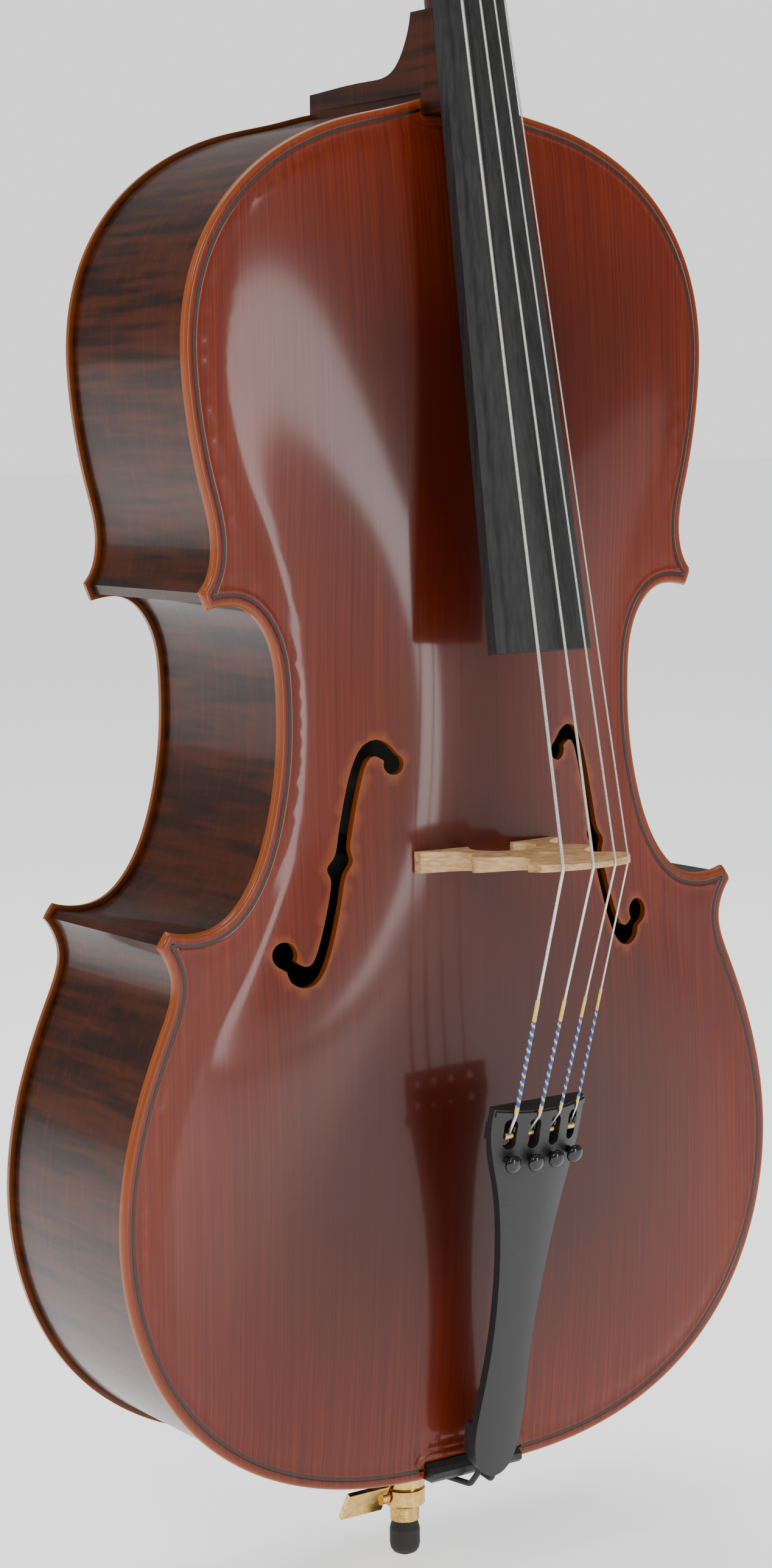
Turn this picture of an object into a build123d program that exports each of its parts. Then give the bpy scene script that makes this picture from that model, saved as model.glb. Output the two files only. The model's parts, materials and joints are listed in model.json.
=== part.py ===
"""A full-size cello with its bridge, strings, fine-tuner tailpiece and sliding endpin.

Frame: +Z is up along the body, +X is the treble side, the front faces -Y. The origin is the foot of the
retracted endpin. Lengths are millimetres. "Station" is a height above the lower edge of the body.
"""

from math import acos, atan, atan2, cos, degrees, dist, hypot, radians, sin
import os

from build123d import *

# ---------------------------------------------------------------- driving dimensions
BODY_BOTTOM = 64.0  # floor to the lower edge of the body, endpin retracted
BODY_LENGTH = 755.0
RIB_DEPTH = 119.0
EDGE = 4.5  # thickness of both plates at their edges
OVERHANG = 3.0  # plates stand this far outside the ribs
RIB_WALL = 1.8
ARCH_RISE = 21.5  # arching above the flat of the edge
PLATE_WALL = 5.0
FLAT_MARGIN = 10.0  # flat edge band that carries the purfling
PURFLING_INSET = 5.0
PURFLING_WIDTH = 1.6
PURFLING_DEPTH = 1.8
LINING_WALL = 2.2
LINING_HEIGHT = 14.0
BLOCK_INSET = OVERHANG + RIB_WALL

BOARD_LENGTH = 580.0
BOARD_END = 452.0  # station of the lower end of the fingerboard
BOARD_END_FRONT = 131.4  # distance of its glue face in front of mid-rib there
BOARD_SLOPE = 0.164
BOARD_WIDTHS = (63.0, 32.0)  # lower end, nut end
BOARD_EDGE = 7.5
BOARD_CROWN = (16.0, 10.5)

BRIDGE_STATION = 339.0
BRIDGE_X = 1.5
BRIDGE_LEAN = 3.5  # degrees towards the fingerboard
BRIDGE_FOOT = 11.5
BRIDGE_CROWN = 2.8

STRINGS = ("c", "g", "d", "a")
STRING_RADIUS = {"c": 0.9, "g": 0.75, "d": 0.6, "a": 0.5}
BRIDGE_SEATS = {"c": (-22.0, 181.3), "g": (-6.3, 186.6), "d": (9.2, 185.3), "a": (24.8, 176.5)}
NUT_SPREAD = 23.0
TAIL_SPREAD = 41.0
SEAT_SHARE = {"c": -0.5, "g": -1 / 6, "d": 1 / 6, "a": 0.5}

TAIL_TOP = 213.0  # station of the wide end of the tailpiece
TAIL_TOP_FRONT = 130.0
TAIL_LENGTH = 215.0
TAIL_CROWN_RADIUS = 62.0
TAIL_WALL = 5.0

HEAD_TILT = 7.0  # degrees the pegbox leans back from the neck
SCROLL_RADIUS = 31.0
PEGS = {"a": (30.0, 1), "c": (48.0, -1), "d": (76.0, 1), "g": (94.0, -1)}  # distance past the nut, side
PEG_RADIUS = 6.5

ROD_RADIUS = 5.0
ROD_LENGTH = 430.0
RUNNING_FIT = 0.05
TIP_RADIUS = 8.6
COLLAR_RADIUS = 11.7

# ---------------------------------------------------------------- derived places
FRONT_GLUE = RIB_DEPTH / 2
FRONT_FLAT = FRONT_GLUE + EDGE
NECK_ANGLE = degrees(atan(BOARD_SLOPE))
NUT_STATION = BOARD_END + BOARD_LENGTH * cos(radians(NECK_ANGLE))
NUT_FRONT = BOARD_END_FRONT - BOARD_SLOPE * (NUT_STATION - BOARD_END)
HEAD_ANGLE = NECK_ANGLE + HEAD_TILT
NUT_LENGTH = 10.0
TAIL_ANGLE = 14.0


def plane_up(front, station, tilt):
    """A plane whose Y runs up the instrument, leaning back by tilt degrees, and whose Z faces the front."""
    lean = radians(tilt)
    return Plane(
        origin=(0, -front, BODY_BOTTOM + station),
        x_dir=(1, 0, 0),
        z_dir=(0, -cos(lean), sin(lean)),
    )


neck_plane = plane_up(NUT_FRONT, NUT_STATION, NECK_ANGLE)
head_plane = plane_up(NUT_FRONT, NUT_STATION, HEAD_ANGLE)
tail_plane = plane_up(TAIL_TOP_FRONT, TAIL_TOP, -TAIL_ANGLE)


def side_plane(plane):
    """The plane's own mid-section: X runs up it, Y runs to its front."""
    return Plane(origin=plane.origin, x_dir=plane.y_dir, z_dir=plane.x_dir)


# ---------------------------------------------------------------- body outline
UPPER_BOUT = ((0, 755), (36, 748), (75, 739), (110, 725), (141, 702), (163, 671), (174, 632), (173, 588),
              (164, 542), (158, 513), (166, 488))
C_BOUT = ((162, 478.5), (141, 479), (125, 463), (118.5, 430), (119, 399), (125, 364), (138, 332),
          (157, 314), (188, 314))
LOWER_BOUT = ((193.5, 306), (184.7, 287), (191.5, 262), (208, 219), (217, 166), (211, 116), (186, 65),
              (152, 33), (110, 12.5), (65, 2.5), (0, 0))
BOUTS = (
    (UPPER_BOUT, (1, 0), (1, -0.9)),  # points, directions at the two ends
    (C_BOUT, (-1, 0.25), (1, 0.35)),
    (LOWER_BOUT, (-1, -1.1), (-1, 0)),
)
BOUT_STEPS = 12  # points drawn between two outline points
CLOSEST = 0.5  # a trimmed line has no two points nearer than this


def at_station(points):
    return [(x, BODY_BOTTOM + station) for x, station in points]


def eased(points, first, last):
    """Points along the twice-smooth line through the given ones, with set directions at its two ends.

    The end slopes have unit speed, which keeps the line from looping back on itself near its ends.
    """
    spans = [dist(p, q) for p, q in zip(points, points[1:])]
    slopes = []
    for axis in (0, 1):
        values = [p[axis] for p in points]
        diagonal = [1.0]
        right = [first[axis] / hypot(*first)]
        upper = [0.0]
        for i in range(1, len(points) - 1):
            before, after = spans[i - 1], spans[i]
            rise, next_rise = values[i] - values[i - 1], values[i + 1] - values[i]
            pull = 3 * (after * rise / before + before * next_rise / after)
            share = after / diagonal[-1]
            diagonal.append(2 * (before + after) - share * upper[-1])
            right.append(pull - share * right[-1])
            upper.append(before)
        solved = [last[axis] / hypot(*last)]
        for i in range(len(points) - 2, -1, -1):
            solved.insert(0, (right[i] - upper[i] * solved[0]) / diagonal[i])
        slopes.append(solved)
    line = []
    for i, span in enumerate(spans):
        for step in range(BOUT_STEPS):
            t = step / BOUT_STEPS
            line.append(tuple(
                (2 * t**3 - 3 * t**2 + 1) * points[i][axis] + (t**3 - 2 * t**2 + t) * span * slopes[axis][i]
                + (3 * t**2 - 2 * t**3) * points[i + 1][axis] + (t**3 - t**2) * span * slopes[axis][i + 1]
                for axis in (0, 1)))
    return line + [points[-1]]


def moved_in(line, first, last, inset):
    """A line moved to its right-hand side, which is the inside of the body."""
    moved = []
    for i, (x, station) in enumerate(line):
        before, after = line[max(i - 1, 0)], line[min(i + 1, len(line) - 1)]
        run, rise = after[0] - before[0], after[1] - before[1]
        if i == 0:
            run, rise = first
        if i == len(line) - 1:
            run, rise = last
        share = inset / hypot(run, rise)
        moved.append((x + rise * share, station - run * share))
    return moved


def crossing(p, q, r, s):
    """Where the straight pieces p-q and r-s cross, or None."""
    across = (q[0] - p[0]) * (s[1] - r[1]) - (q[1] - p[1]) * (s[0] - r[0])
    if across == 0:
        return None
    along = ((r[0] - p[0]) * (s[1] - r[1]) - (r[1] - p[1]) * (s[0] - r[0])) / across
    other = ((r[0] - p[0]) * (q[1] - p[1]) - (r[1] - p[1]) * (q[0] - p[0])) / across
    if 0 <= along <= 1 and 0 <= other <= 1:
        return (p[0] + along * (q[0] - p[0]), p[1] + along * (q[1] - p[1]))
    return None


def trimmed(before, after):
    """Two lines cut back to the place where they cross, or None when they do not."""
    for i in range(len(before) - 1, 0, -1):
        for j in range(len(after) - 1):
            place = crossing(before[i - 1], before[i], after[j], after[j + 1])
            if place:
                head, tail = before[:i], after[j + 1:]
                if len(head) > 1 and dist(head[-1], place) < CLOSEST:
                    head = head[:-1]
                if len(tail) > 1 and dist(tail[0], place) < CLOSEST:
                    tail = tail[1:]
                return head + [place], [place] + tail
    return None


def outline_lines(inset):
    """The lines of the treble half of the outline moved in by inset, from the top down."""
    lines = []
    for points, first, last in BOUTS:
        line = moved_in(eased(points, first, last), first, last, inset)
        if lines:
            run = (points[0][0] - corner[0], points[0][1] - corner[1])
            end = moved_in([corner, points[0]], run, run, inset)
            cut = inset and trimmed(lines[-1], end)
            second_cut = cut and trimmed(cut[1], line)
            if inset == 0:
                lines += [end, line]
            elif second_cut:
                lines[-1:] = [cut[0], *second_cut]
            else:
                lines[-1:] = trimmed(lines[-1], line)
        else:
            lines.append(line)
        corner = points[-1]
    return lines


def inset_outline(inset):
    """The body outline moved inwards."""
    with BuildSketch() as sketch:
        with BuildLine():
            for line in outline_lines(inset):
                if len(line) == 2:
                    Line(*at_station(line))
                else:
                    Spline(*at_station(line))
            mirror(about=Plane.YZ)
        make_face()
    return sketch.sketch_local


def band(outer_inset, inner_inset):
    return inset_outline(outer_inset) - inset_outline(inner_inset)


# ---------------------------------------------------------------- arching
ARCH_ENDS = (8.0, 747.0)
ARCH_POWER = 2.6
ARCH_SHARPNESS = 1.5
ARCH_DIP = 0.65  # the arch surface passes this far under the flat where it ends
ARCH_WIDTHS = ((-60, 170), (0, 190), (80, 202), (165, 206), (235, 184), (300, 142), (350, 119), (400, 110),
               (450, 112), (505, 128), (560, 152), (612, 163), (685, 155), (755, 135), (830, 110))
GRID_X = 12.0
GRID_Z = 15.0


def smooth(stations, at):
    """Catmull-Rom interpolation through (place, value) pairs."""
    last = len(stations) - 2
    i = min(max(1, sum(place <= at for place, _ in stations) - 1), last - 1)
    (p0, v0), (p1, v1), (p2, v2), (p3, v3) = stations[i - 1:i + 3]
    t = (at - p1) / (p2 - p1)
    slope_1 = (v2 - v0) / (p2 - p0) * (p2 - p1)
    slope_2 = (v3 - v1) / (p3 - p1) * (p2 - p1)
    return ((2 * v1 - 2 * v2 + slope_1 + slope_2) * t**3
            + (3 * v2 - 3 * v1 - 2 * slope_1 - slope_2) * t**2 + slope_1 * t + v1)


def arch_height(x, station):
    """Height of the arching above the flat edge at a place on the plate."""
    q = (station - ARCH_ENDS[0]) / (ARCH_ENDS[1] - ARCH_ENDS[0])
    along = 1 - abs(2 * q - 1) ** ARCH_POWER
    u = min(abs(x) / smooth(ARCH_WIDTHS, station), 1.0)
    return (ARCH_RISE + ARCH_DIP) * (1 - u * u) ** ARCH_SHARPNESS * along - ARCH_DIP


def arch_block(lowered):
    """Everything behind the front arching surface, lowered into the body by a wall thickness."""
    columns = int(480 / GRID_X) + 1
    rows = int(795 / GRID_Z) + 1
    points = []
    for j in range(rows):
        station = -20 + j * GRID_Z
        row = []
        for i in range(columns):
            x = -240 + i * GRID_X
            row.append((x, -(FRONT_FLAT + arch_height(x, station) - lowered), BODY_BOTTOM + station))
        points.append(row)
    surface = Face.make_surface_from_array_of_points(points, tol=0.02)
    return extrude(surface, amount=70, dir=(0, 1, 0))


outer_arch = arch_block(0.0)
inner_arch = arch_block(PLATE_WALL)
GLUE_PLANE = Plane.XZ.offset(FRONT_GLUE)

with BuildPart() as dome:
    with BuildSketch(GLUE_PLANE):
        add(inset_outline(FLAT_MARGIN))
    extrude(amount=40)
    add(outer_arch, mode=Mode.INTERSECT)

with BuildPart() as hollow:
    with BuildSketch(GLUE_PLANE):
        add(inset_outline(FLAT_MARGIN + 4))
    extrude(amount=40)
    add(inner_arch, mode=Mode.INTERSECT)

with BuildPart() as arched_plate:
    with BuildSketch(GLUE_PLANE):
        add(inset_outline(0))
    extrude(amount=EDGE)
    add(dome.part)
    add(hollow.part, mode=Mode.SUBTRACT)

# ---------------------------------------------------------------- plates and purfling
ROOT_HALF_WIDTH = 21.0
ROOT_STATION = 743.0
BUTTON_RADIUS = 15.0
BUTTON_STATION = 751.0
SADDLE_LENGTH = 60.0
SADDLE_DEPTH = 9.0
UPPER_EYE = (55.5, 392.0, 5.6)
LOWER_EYE = (119.5, 295.0, 7.0)
HOLE_OUTER_TOP = ((52.5, 396.5), (59, 403.5), (66.5, 405.5), (74, 400.5), (80, 386), (85.5, 362), (90, 339),
                  (95.5, 314), (100.5, 298), (104.5, 290), (109, 288.5), (114, 293))
HOLE_INNER_LOW = ((122.5, 288.5), (116.5, 280.5), (109, 277.3), (101, 281), (94.5, 293), (88, 315),
                  (82.5, 340),
                  (78, 363), (73.5, 383), (70, 393.5), (66, 396.8), (60.5, 394))
NICKS = ((93.5, 338.5), (79.5, 341.5))
NICK = 3.2

with BuildSketch(Plane.XZ) as f_hole:
    with BuildLine():
        Spline(*at_station(HOLE_OUTER_TOP))
        Line(at_station(HOLE_OUTER_TOP)[-1], at_station(HOLE_INNER_LOW)[0])
        Spline(*at_station(HOLE_INNER_LOW))
        Line(at_station(HOLE_INNER_LOW)[-1], at_station(HOLE_OUTER_TOP)[0])
    make_face()
    for eye_x, eye_station, eye_radius in (UPPER_EYE, LOWER_EYE):
        with Locations((eye_x, BODY_BOTTOM + eye_station)):
            Circle(eye_radius)
    with Locations(*at_station(NICKS)):
        Rectangle(NICK, NICK, rotation=45)

with BuildPart() as top_purfling:
    with BuildSketch(Plane.XZ.offset(FRONT_FLAT)):
        add(band(PURFLING_INSET, PURFLING_INSET + PURFLING_WIDTH))
        with Locations((0, BODY_BOTTOM + BODY_LENGTH)):
            Rectangle(2 * ROOT_HALF_WIDTH, 2 * (BODY_LENGTH - ROOT_STATION), mode=Mode.SUBTRACT)
        with Locations((0, BODY_BOTTOM)):
            Rectangle(SADDLE_LENGTH, 2 * SADDLE_DEPTH, mode=Mode.SUBTRACT)
    extrude(amount=-PURFLING_DEPTH)

with BuildPart() as top_plate:
    add(arched_plate.part)
    with BuildSketch(Plane.XZ):
        add(f_hole.sketch_local)
        mirror(about=Plane.YZ)
    extrude(amount=100, mode=Mode.SUBTRACT)
    with BuildSketch(Plane.XZ):
        with Locations((0, BODY_BOTTOM + BODY_LENGTH)):
            Rectangle(2 * ROOT_HALF_WIDTH, 2 * (BODY_LENGTH - ROOT_STATION))
        with Locations((0, BODY_BOTTOM)):
            Rectangle(SADDLE_LENGTH, 2 * SADDLE_DEPTH)
    extrude(amount=100, mode=Mode.SUBTRACT)
    add(top_purfling.part, mode=Mode.SUBTRACT)

with BuildPart() as back_purfling:
    with BuildSketch(Plane.XZ.offset(-FRONT_FLAT)):
        add(band(PURFLING_INSET, PURFLING_INSET + PURFLING_WIDTH))
    extrude(amount=PURFLING_DEPTH)

with BuildPart() as back_plate:
    add(mirror(arched_plate.part, about=Plane.XZ))
    add(back_purfling.part, mode=Mode.SUBTRACT)
    with BuildSketch(Plane.XZ.offset(-FRONT_GLUE)):
        with Locations((0, BODY_BOTTOM + BUTTON_STATION)):
            Circle(BUTTON_RADIUS)
        with Locations((0, BODY_BOTTOM + BUTTON_STATION - BUTTON_RADIUS)):
            Rectangle(2 * BUTTON_RADIUS + 10, 2 * BUTTON_RADIUS, mode=Mode.SUBTRACT)
    extrude(amount=-EDGE)

# ---------------------------------------------------------------- ribs, blocks and linings
UPPER_CUT = ((240, 466), (166, 483), (156, 487), (140, 497), (0, 497))
LOWER_CUT = ((240, 316), (191, 309.5), (182, 304.5), (160, 292), (0, 292))
RIB_REGIONS = {
    "upper": UPPER_CUT + ((0, 800), (240, 800)),
    "center": UPPER_CUT + tuple(reversed(LOWER_CUT)),
    "lower": LOWER_CUT + ((0, -40), (240, -40)),
}
CORNERS = ((165, 483), (191, 310))
CORNER_BLOCK_RADIUS = 36.0
NECK_BLOCK = (120.0, 30.0)  # width, depth along the body
END_BLOCK = (100.0, 28.0)
SIDES = {"bass": -1, "treble": 1}

with BuildPart() as neck_root_space:
    with BuildSketch(Plane.XY.offset(BODY_BOTTOM + ROOT_STATION)):
        with BuildLine():
            Polyline((-ROOT_HALF_WIDTH, -90), (ROOT_HALF_WIDTH, -90), (14, FRONT_GLUE), (-14, FRONT_GLUE),
                     close=True)
        make_face()
    extrude(amount=60)

with BuildPart() as rib_garland:
    with BuildSketch(Plane.XZ):
        add(band(OVERHANG, BLOCK_INSET))
    extrude(amount=FRONT_GLUE, both=True)
    add(neck_root_space.part, mode=Mode.SUBTRACT)

ribs = {}
for region_name, region in RIB_REGIONS.items():
    for side_name, side in SIDES.items():
        with BuildPart() as rib:
            with BuildSketch(Plane.XZ):
                with BuildLine():
                    Polyline(*[(side * x, BODY_BOTTOM + station) for x, station in region], close=True)
                make_face()
            extrude(amount=FRONT_GLUE + 1, both=True)
            add(rib_garland.part, mode=Mode.INTERSECT)
        ribs[f"{region_name}_rib_{side_name}"] = rib.part

with BuildPart() as corner_blocks:
    with BuildSketch(Plane.XZ):
        with Locations(*at_station(CORNERS), *at_station([(-x, station) for x, station in CORNERS])):
            Circle(CORNER_BLOCK_RADIUS)
        add(inset_outline(BLOCK_INSET), mode=Mode.INTERSECT)
    extrude(amount=FRONT_GLUE, both=True)

with BuildPart() as neck_block:
    with BuildSketch(Plane.XZ):
        with Locations((0, BODY_BOTTOM + BODY_LENGTH)):
            Rectangle(NECK_BLOCK[0], 2 * NECK_BLOCK[1])
        add(inset_outline(BLOCK_INSET), mode=Mode.INTERSECT)
    extrude(amount=FRONT_GLUE, both=True)
    add(neck_root_space.part, mode=Mode.SUBTRACT)

with BuildPart() as end_block:
    with BuildSketch(Plane.XZ):
        with Locations((0, BODY_BOTTOM)):
            Rectangle(END_BLOCK[0], 2 * END_BLOCK[1])
        add(inset_outline(BLOCK_INSET), mode=Mode.INTERSECT)
    extrude(amount=FRONT_GLUE, both=True)

with BuildPart() as top_linings:
    with BuildSketch(GLUE_PLANE):
        add(band(BLOCK_INSET, BLOCK_INSET + LINING_WALL))
        with Locations(*at_station(CORNERS), *at_station([(-x, station) for x, station in CORNERS])):
            Circle(CORNER_BLOCK_RADIUS, mode=Mode.SUBTRACT)
        with Locations((0, BODY_BOTTOM + BODY_LENGTH)):
            Rectangle(NECK_BLOCK[0], 2 * NECK_BLOCK[1], mode=Mode.SUBTRACT)
        with Locations((0, BODY_BOTTOM)):
            Rectangle(END_BLOCK[0], 2 * END_BLOCK[1], mode=Mode.SUBTRACT)
    extrude(amount=-LINING_HEIGHT)

back_linings_part = mirror(top_linings.part, about=Plane.XZ)

# ---------------------------------------------------------------- bass bar and sound post
BAR_X = -22.0
BAR_WIDTH = 10.0
BAR_BACK = ((110, 66), (250, 59), (395, 57), (540, 59), (665, 65))
POST_RADIUS = 5.5
POST_PLACE = (24.5, 324.0)

with BuildPart() as bass_bar:
    with BuildSketch(Plane.YZ.offset(BAR_X - BAR_WIDTH / 2)):
        with BuildLine():
            Spline(*[(-front, BODY_BOTTOM + station) for station, front in BAR_BACK])
            Polyline((-BAR_BACK[-1][1], BODY_BOTTOM + BAR_BACK[-1][0]), (-95, BODY_BOTTOM + BAR_BACK[-1][0]),
                     (-95, BODY_BOTTOM + BAR_BACK[0][0]), (-BAR_BACK[0][1], BODY_BOTTOM + BAR_BACK[0][0]))
        make_face()
    extrude(amount=BAR_WIDTH)
    add(inner_arch, mode=Mode.INTERSECT)

post_height = FRONT_FLAT - PLATE_WALL + min(
    arch_height(POST_PLACE[0] + dx, POST_PLACE[1] + dz)
    for dx in (-POST_RADIUS, POST_RADIUS) for dz in (-POST_RADIUS, POST_RADIUS)
)

with BuildPart() as sound_post:
    with BuildSketch(Plane.XZ):
        with Locations((POST_PLACE[0], BODY_BOTTOM + POST_PLACE[1])):
            Circle(POST_RADIUS)
    extrude(amount=post_height, both=True)

# ---------------------------------------------------------------- neck with pegbox and scroll
HANDLE_LENGTH = 236.0
HANDLE_DEPTHS = ((-1.0, 34.0, 19.0), (120.0, 38.0, 20.5), (HANDLE_LENGTH, 43.0, 23.0))  # drop, width, depth
HEEL_BACK = ((-46, 782), (-34, 770), (-8, 766.5), (43, 765.5), (FRONT_GLUE, 765.0))
HEEL_JOIN_STATION = 800.0
HEEL_WIDTHS = (45.0, 28.0)  # under the fingerboard, at the button
PEGBOX_SIDE = ((-8, -12), (-4, -24), (8, -35), (20, -37), (60, -33), (105, -27), (128, -24), (128, 4),
               (100, 1), (60, 3), (30, 1), (9, 0), (-8, 0))
PEGBOX_WIDTHS = (38.0, 25.0)
CAVITY_ENDS = (15.0, 116.0)
CAVITY_WIDTHS = (25.0, 15.0)
CAVITY_FLOOR = (-27.0, -22.0)
SCROLL_TURNS = ((152.0, -8.0, SCROLL_RADIUS, 26.0), (154.0, -7.0, 22.0, 44.0), (153.0, -6.0, 12.0, 60.0))
PEG_FRONT = -12.0  # peg axes against the pegbox front line


def glue_front(station):
    """How far the glue face of the fingerboard stands in front of mid-rib."""
    return BOARD_END_FRONT - BOARD_SLOPE * (station - BOARD_END)


def down_neck(drop):
    """A plane square across the neck, drop millimetres below the nut; its Y faces the back."""
    place = neck_plane.from_local_coords((0, -drop, 0))
    return Plane(origin=place, x_dir=(1, 0, 0), z_dir=neck_plane.y_dir)


def taper(low, high, low_width, high_width):
    """Corners of a tapering strip of the head plane between two distances past the nut."""
    return [(-low_width / 2, low), (low_width / 2, low), (high_width / 2, high), (-high_width / 2, high)]


with BuildPart() as handle:
    for drop, width, depth in HANDLE_DEPTHS:
        with BuildSketch(down_neck(drop)):
            with BuildLine():
                EllipticalCenterArc((0, 0), width / 2, depth, start_angle=0, arc_size=180)
                Line((-width / 2, 0), (width / 2, 0))
            make_face()
    loft()

with BuildPart() as heel:
    with BuildSketch(Plane.YZ):
        with BuildLine():
            Polyline(
                (-glue_front(ROOT_STATION), BODY_BOTTOM + ROOT_STATION),
                (-glue_front(HEEL_JOIN_STATION), BODY_BOTTOM + HEEL_JOIN_STATION),
                (-glue_front(HEEL_JOIN_STATION) + 21, BODY_BOTTOM + HEEL_JOIN_STATION),
            )
            heel_line = [(-glue_front(HEEL_JOIN_STATION) + 21, HEEL_JOIN_STATION), *HEEL_BACK]
            Spline(*at_station(eased(heel_line, (0.16, -1), (1, 0))))
            Polyline(
                (FRONT_GLUE, BODY_BOTTOM + HEEL_BACK[-1][1]),
                (FRONT_GLUE, BODY_BOTTOM + ROOT_STATION),
                (-glue_front(ROOT_STATION), BODY_BOTTOM + ROOT_STATION),
            )
        make_face()
    extrude(amount=40, both=True)
    with BuildSketch(Plane.XY.offset(BODY_BOTTOM)):
        with BuildLine():
            Polyline((-HEEL_WIDTHS[0] / 2, -90), (HEEL_WIDTHS[0] / 2, -90), (HEEL_WIDTHS[0] / 2, -FRONT_FLAT),
                     (HEEL_WIDTHS[1] / 2, FRONT_GLUE), (-HEEL_WIDTHS[1] / 2, FRONT_GLUE),
                     (-HEEL_WIDTHS[0] / 2, -FRONT_FLAT), close=True)
        make_face()
    extrude(amount=BODY_LENGTH + 100, mode=Mode.INTERSECT)

with BuildPart() as body_top_space:
    with BuildSketch(Plane.XY.offset(BODY_BOTTOM + ROOT_STATION)):
        Rectangle(100, 2 * FRONT_FLAT)
        with BuildLine():
            Polyline((-ROOT_HALF_WIDTH, -90), (ROOT_HALF_WIDTH, -90), (14, FRONT_GLUE), (-14, FRONT_GLUE),
                     close=True)
        make_face(mode=Mode.SUBTRACT)
    extrude(amount=BODY_LENGTH - ROOT_STATION)

with BuildPart() as peg_cavity:
    with BuildSketch(head_plane.offset(-60)):
        with BuildLine():
            Polyline(*taper(*CAVITY_ENDS, *CAVITY_WIDTHS), close=True)
        make_face()
    extrude(amount=120)
    with BuildSketch(side_plane(head_plane)):
        with BuildLine():
            Polyline((CAVITY_ENDS[0], CAVITY_FLOOR[0]), (CAVITY_ENDS[1], CAVITY_FLOOR[1]),
                     (CAVITY_ENDS[1], 20), (CAVITY_ENDS[0], 20), close=True)
        make_face()
    extrude(amount=30, both=True, mode=Mode.INTERSECT)

with BuildPart() as pegbox:
    with BuildSketch(side_plane(head_plane)):
        with BuildLine():
            Polyline(*PEGBOX_SIDE, close=True)
        make_face()
    extrude(amount=30, both=True)
    with BuildSketch(head_plane.offset(-60)):
        with BuildLine():
            Polyline(*taper(-8, 128, *PEGBOX_WIDTHS), close=True)
        make_face()
    extrude(amount=120, mode=Mode.INTERSECT)
    add(peg_cavity.part, mode=Mode.SUBTRACT)

with BuildPart() as neck:
    add(handle.part)
    add(heel.part)
    add(body_top_space.part, mode=Mode.SUBTRACT)
    add(pegbox.part)
    for along, front, radius, width in SCROLL_TURNS:
        with BuildSketch(side_plane(head_plane).offset(-width / 2)):
            with Locations((along, front)):
                Circle(radius)
        extrude(amount=width)
    for along, _ in PEGS.values():
        with BuildSketch(side_plane(head_plane).offset(-30)):
            with Locations((along, PEG_FRONT)):
                Circle(PEG_RADIUS + RUNNING_FIT)
        extrude(amount=60, mode=Mode.SUBTRACT)
    with BuildSketch(neck_plane):
        with Locations((0, -BOARD_LENGTH / 2)):
            Rectangle(100, BOARD_LENGTH)
    extrude(amount=60, mode=Mode.SUBTRACT)

# ---------------------------------------------------------------- fingerboard, nut and saddle
FACET = 0.17  # the flat under the thickest string starts this share of the width off centre
NUT_RISE = 0.8
SADDLE_RISE = 7.0


def board_section(width, crown, edge):
    with BuildLine() as section:
        flat_start = (-width / 2, edge)
        ridge = (-FACET * width, edge + (crown - edge) * (1 - (2 * FACET) ** 2))
        far_side = (width * 0.2, edge + (crown - edge) * (1 - 0.4**2))
        Polyline((width / 2, edge), (width / 2, 0), (-width / 2, 0), flat_start, ridge)
        ThreePointArc(ridge, far_side, (width / 2, edge))
    return section.line


def across_neck(drop):
    """A plane square across the neck, drop millimetres below the nut; its Y faces the front."""
    place = neck_plane.from_local_coords((0, -drop, 0))
    return Plane(origin=place, x_dir=(1, 0, 0), z_dir=-neck_plane.y_dir)


with BuildPart() as fingerboard:
    for drop, width, crown in zip((BOARD_LENGTH, 0), BOARD_WIDTHS, BOARD_CROWN):
        with BuildSketch(across_neck(drop)):
            with BuildLine():
                add(board_section(width, crown, BOARD_EDGE))
            make_face()
    loft(ruled=True)

with BuildPart() as nut:
    with BuildSketch(across_neck(-NUT_LENGTH)):
        with BuildLine():
            add(board_section(BOARD_WIDTHS[1], BOARD_CROWN[1] + NUT_RISE, BOARD_EDGE + NUT_RISE))
        make_face()
    extrude(amount=NUT_LENGTH)

with BuildPart() as saddle:
    with BuildSketch(Plane.YZ.offset(-SADDLE_LENGTH / 2)):
        with BuildLine():
            Polyline((-FRONT_GLUE, BODY_BOTTOM + SADDLE_DEPTH), (-FRONT_FLAT, BODY_BOTTOM + SADDLE_DEPTH),
                     (-FRONT_FLAT - 4, BODY_BOTTOM + SADDLE_DEPTH - 2),
                     (-FRONT_FLAT - SADDLE_RISE, BODY_BOTTOM + 5), (-FRONT_FLAT - SADDLE_RISE, BODY_BOTTOM + 2),
                     (-FRONT_FLAT - 5, BODY_BOTTOM), (-FRONT_GLUE, BODY_BOTTOM), close=True)
        make_face()
    extrude(amount=SADDLE_LENGTH)

# ---------------------------------------------------------------- bridge
BRIDGE_SIDE = ((46.5, 78), (46.5, 87), (40, 91), (33, 97), (29.5, 106), (31, 114), (36, 119), (38, 124),
               (34, 131), (24, 139), (20.5, 146), (22, 152), (30, 160), (31.5, 168))
BRIDGE_CROWN_POINTS = ((31.5, 168), (24, 176.5), (8, 184.7), (-8, 186.0), (-24, 180.3), (-31.5, 173.5))
BRIDGE_ARCH = ((-14.5, 78), (-15, 88), (-19, 94), (-20, 102), (-14, 112), (0, 117), (14, 112), (20, 102),
               (19, 94), (15, 88), (14.5, 78))
HEART = ((0, 130), (5.5, 136), (6, 142), (3, 145.5), (0, 142.5), (-3, 145.5), (-6, 142), (-5.5, 136))
lean = radians(BRIDGE_LEAN)
bridge_plane = Plane(
    origin=(BRIDGE_X, 0, BODY_BOTTOM + BRIDGE_STATION - 82 * sin(lean)),
    x_dir=(1, 0, 0),
    z_dir=(0, -sin(lean), -cos(lean)),
)

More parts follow.
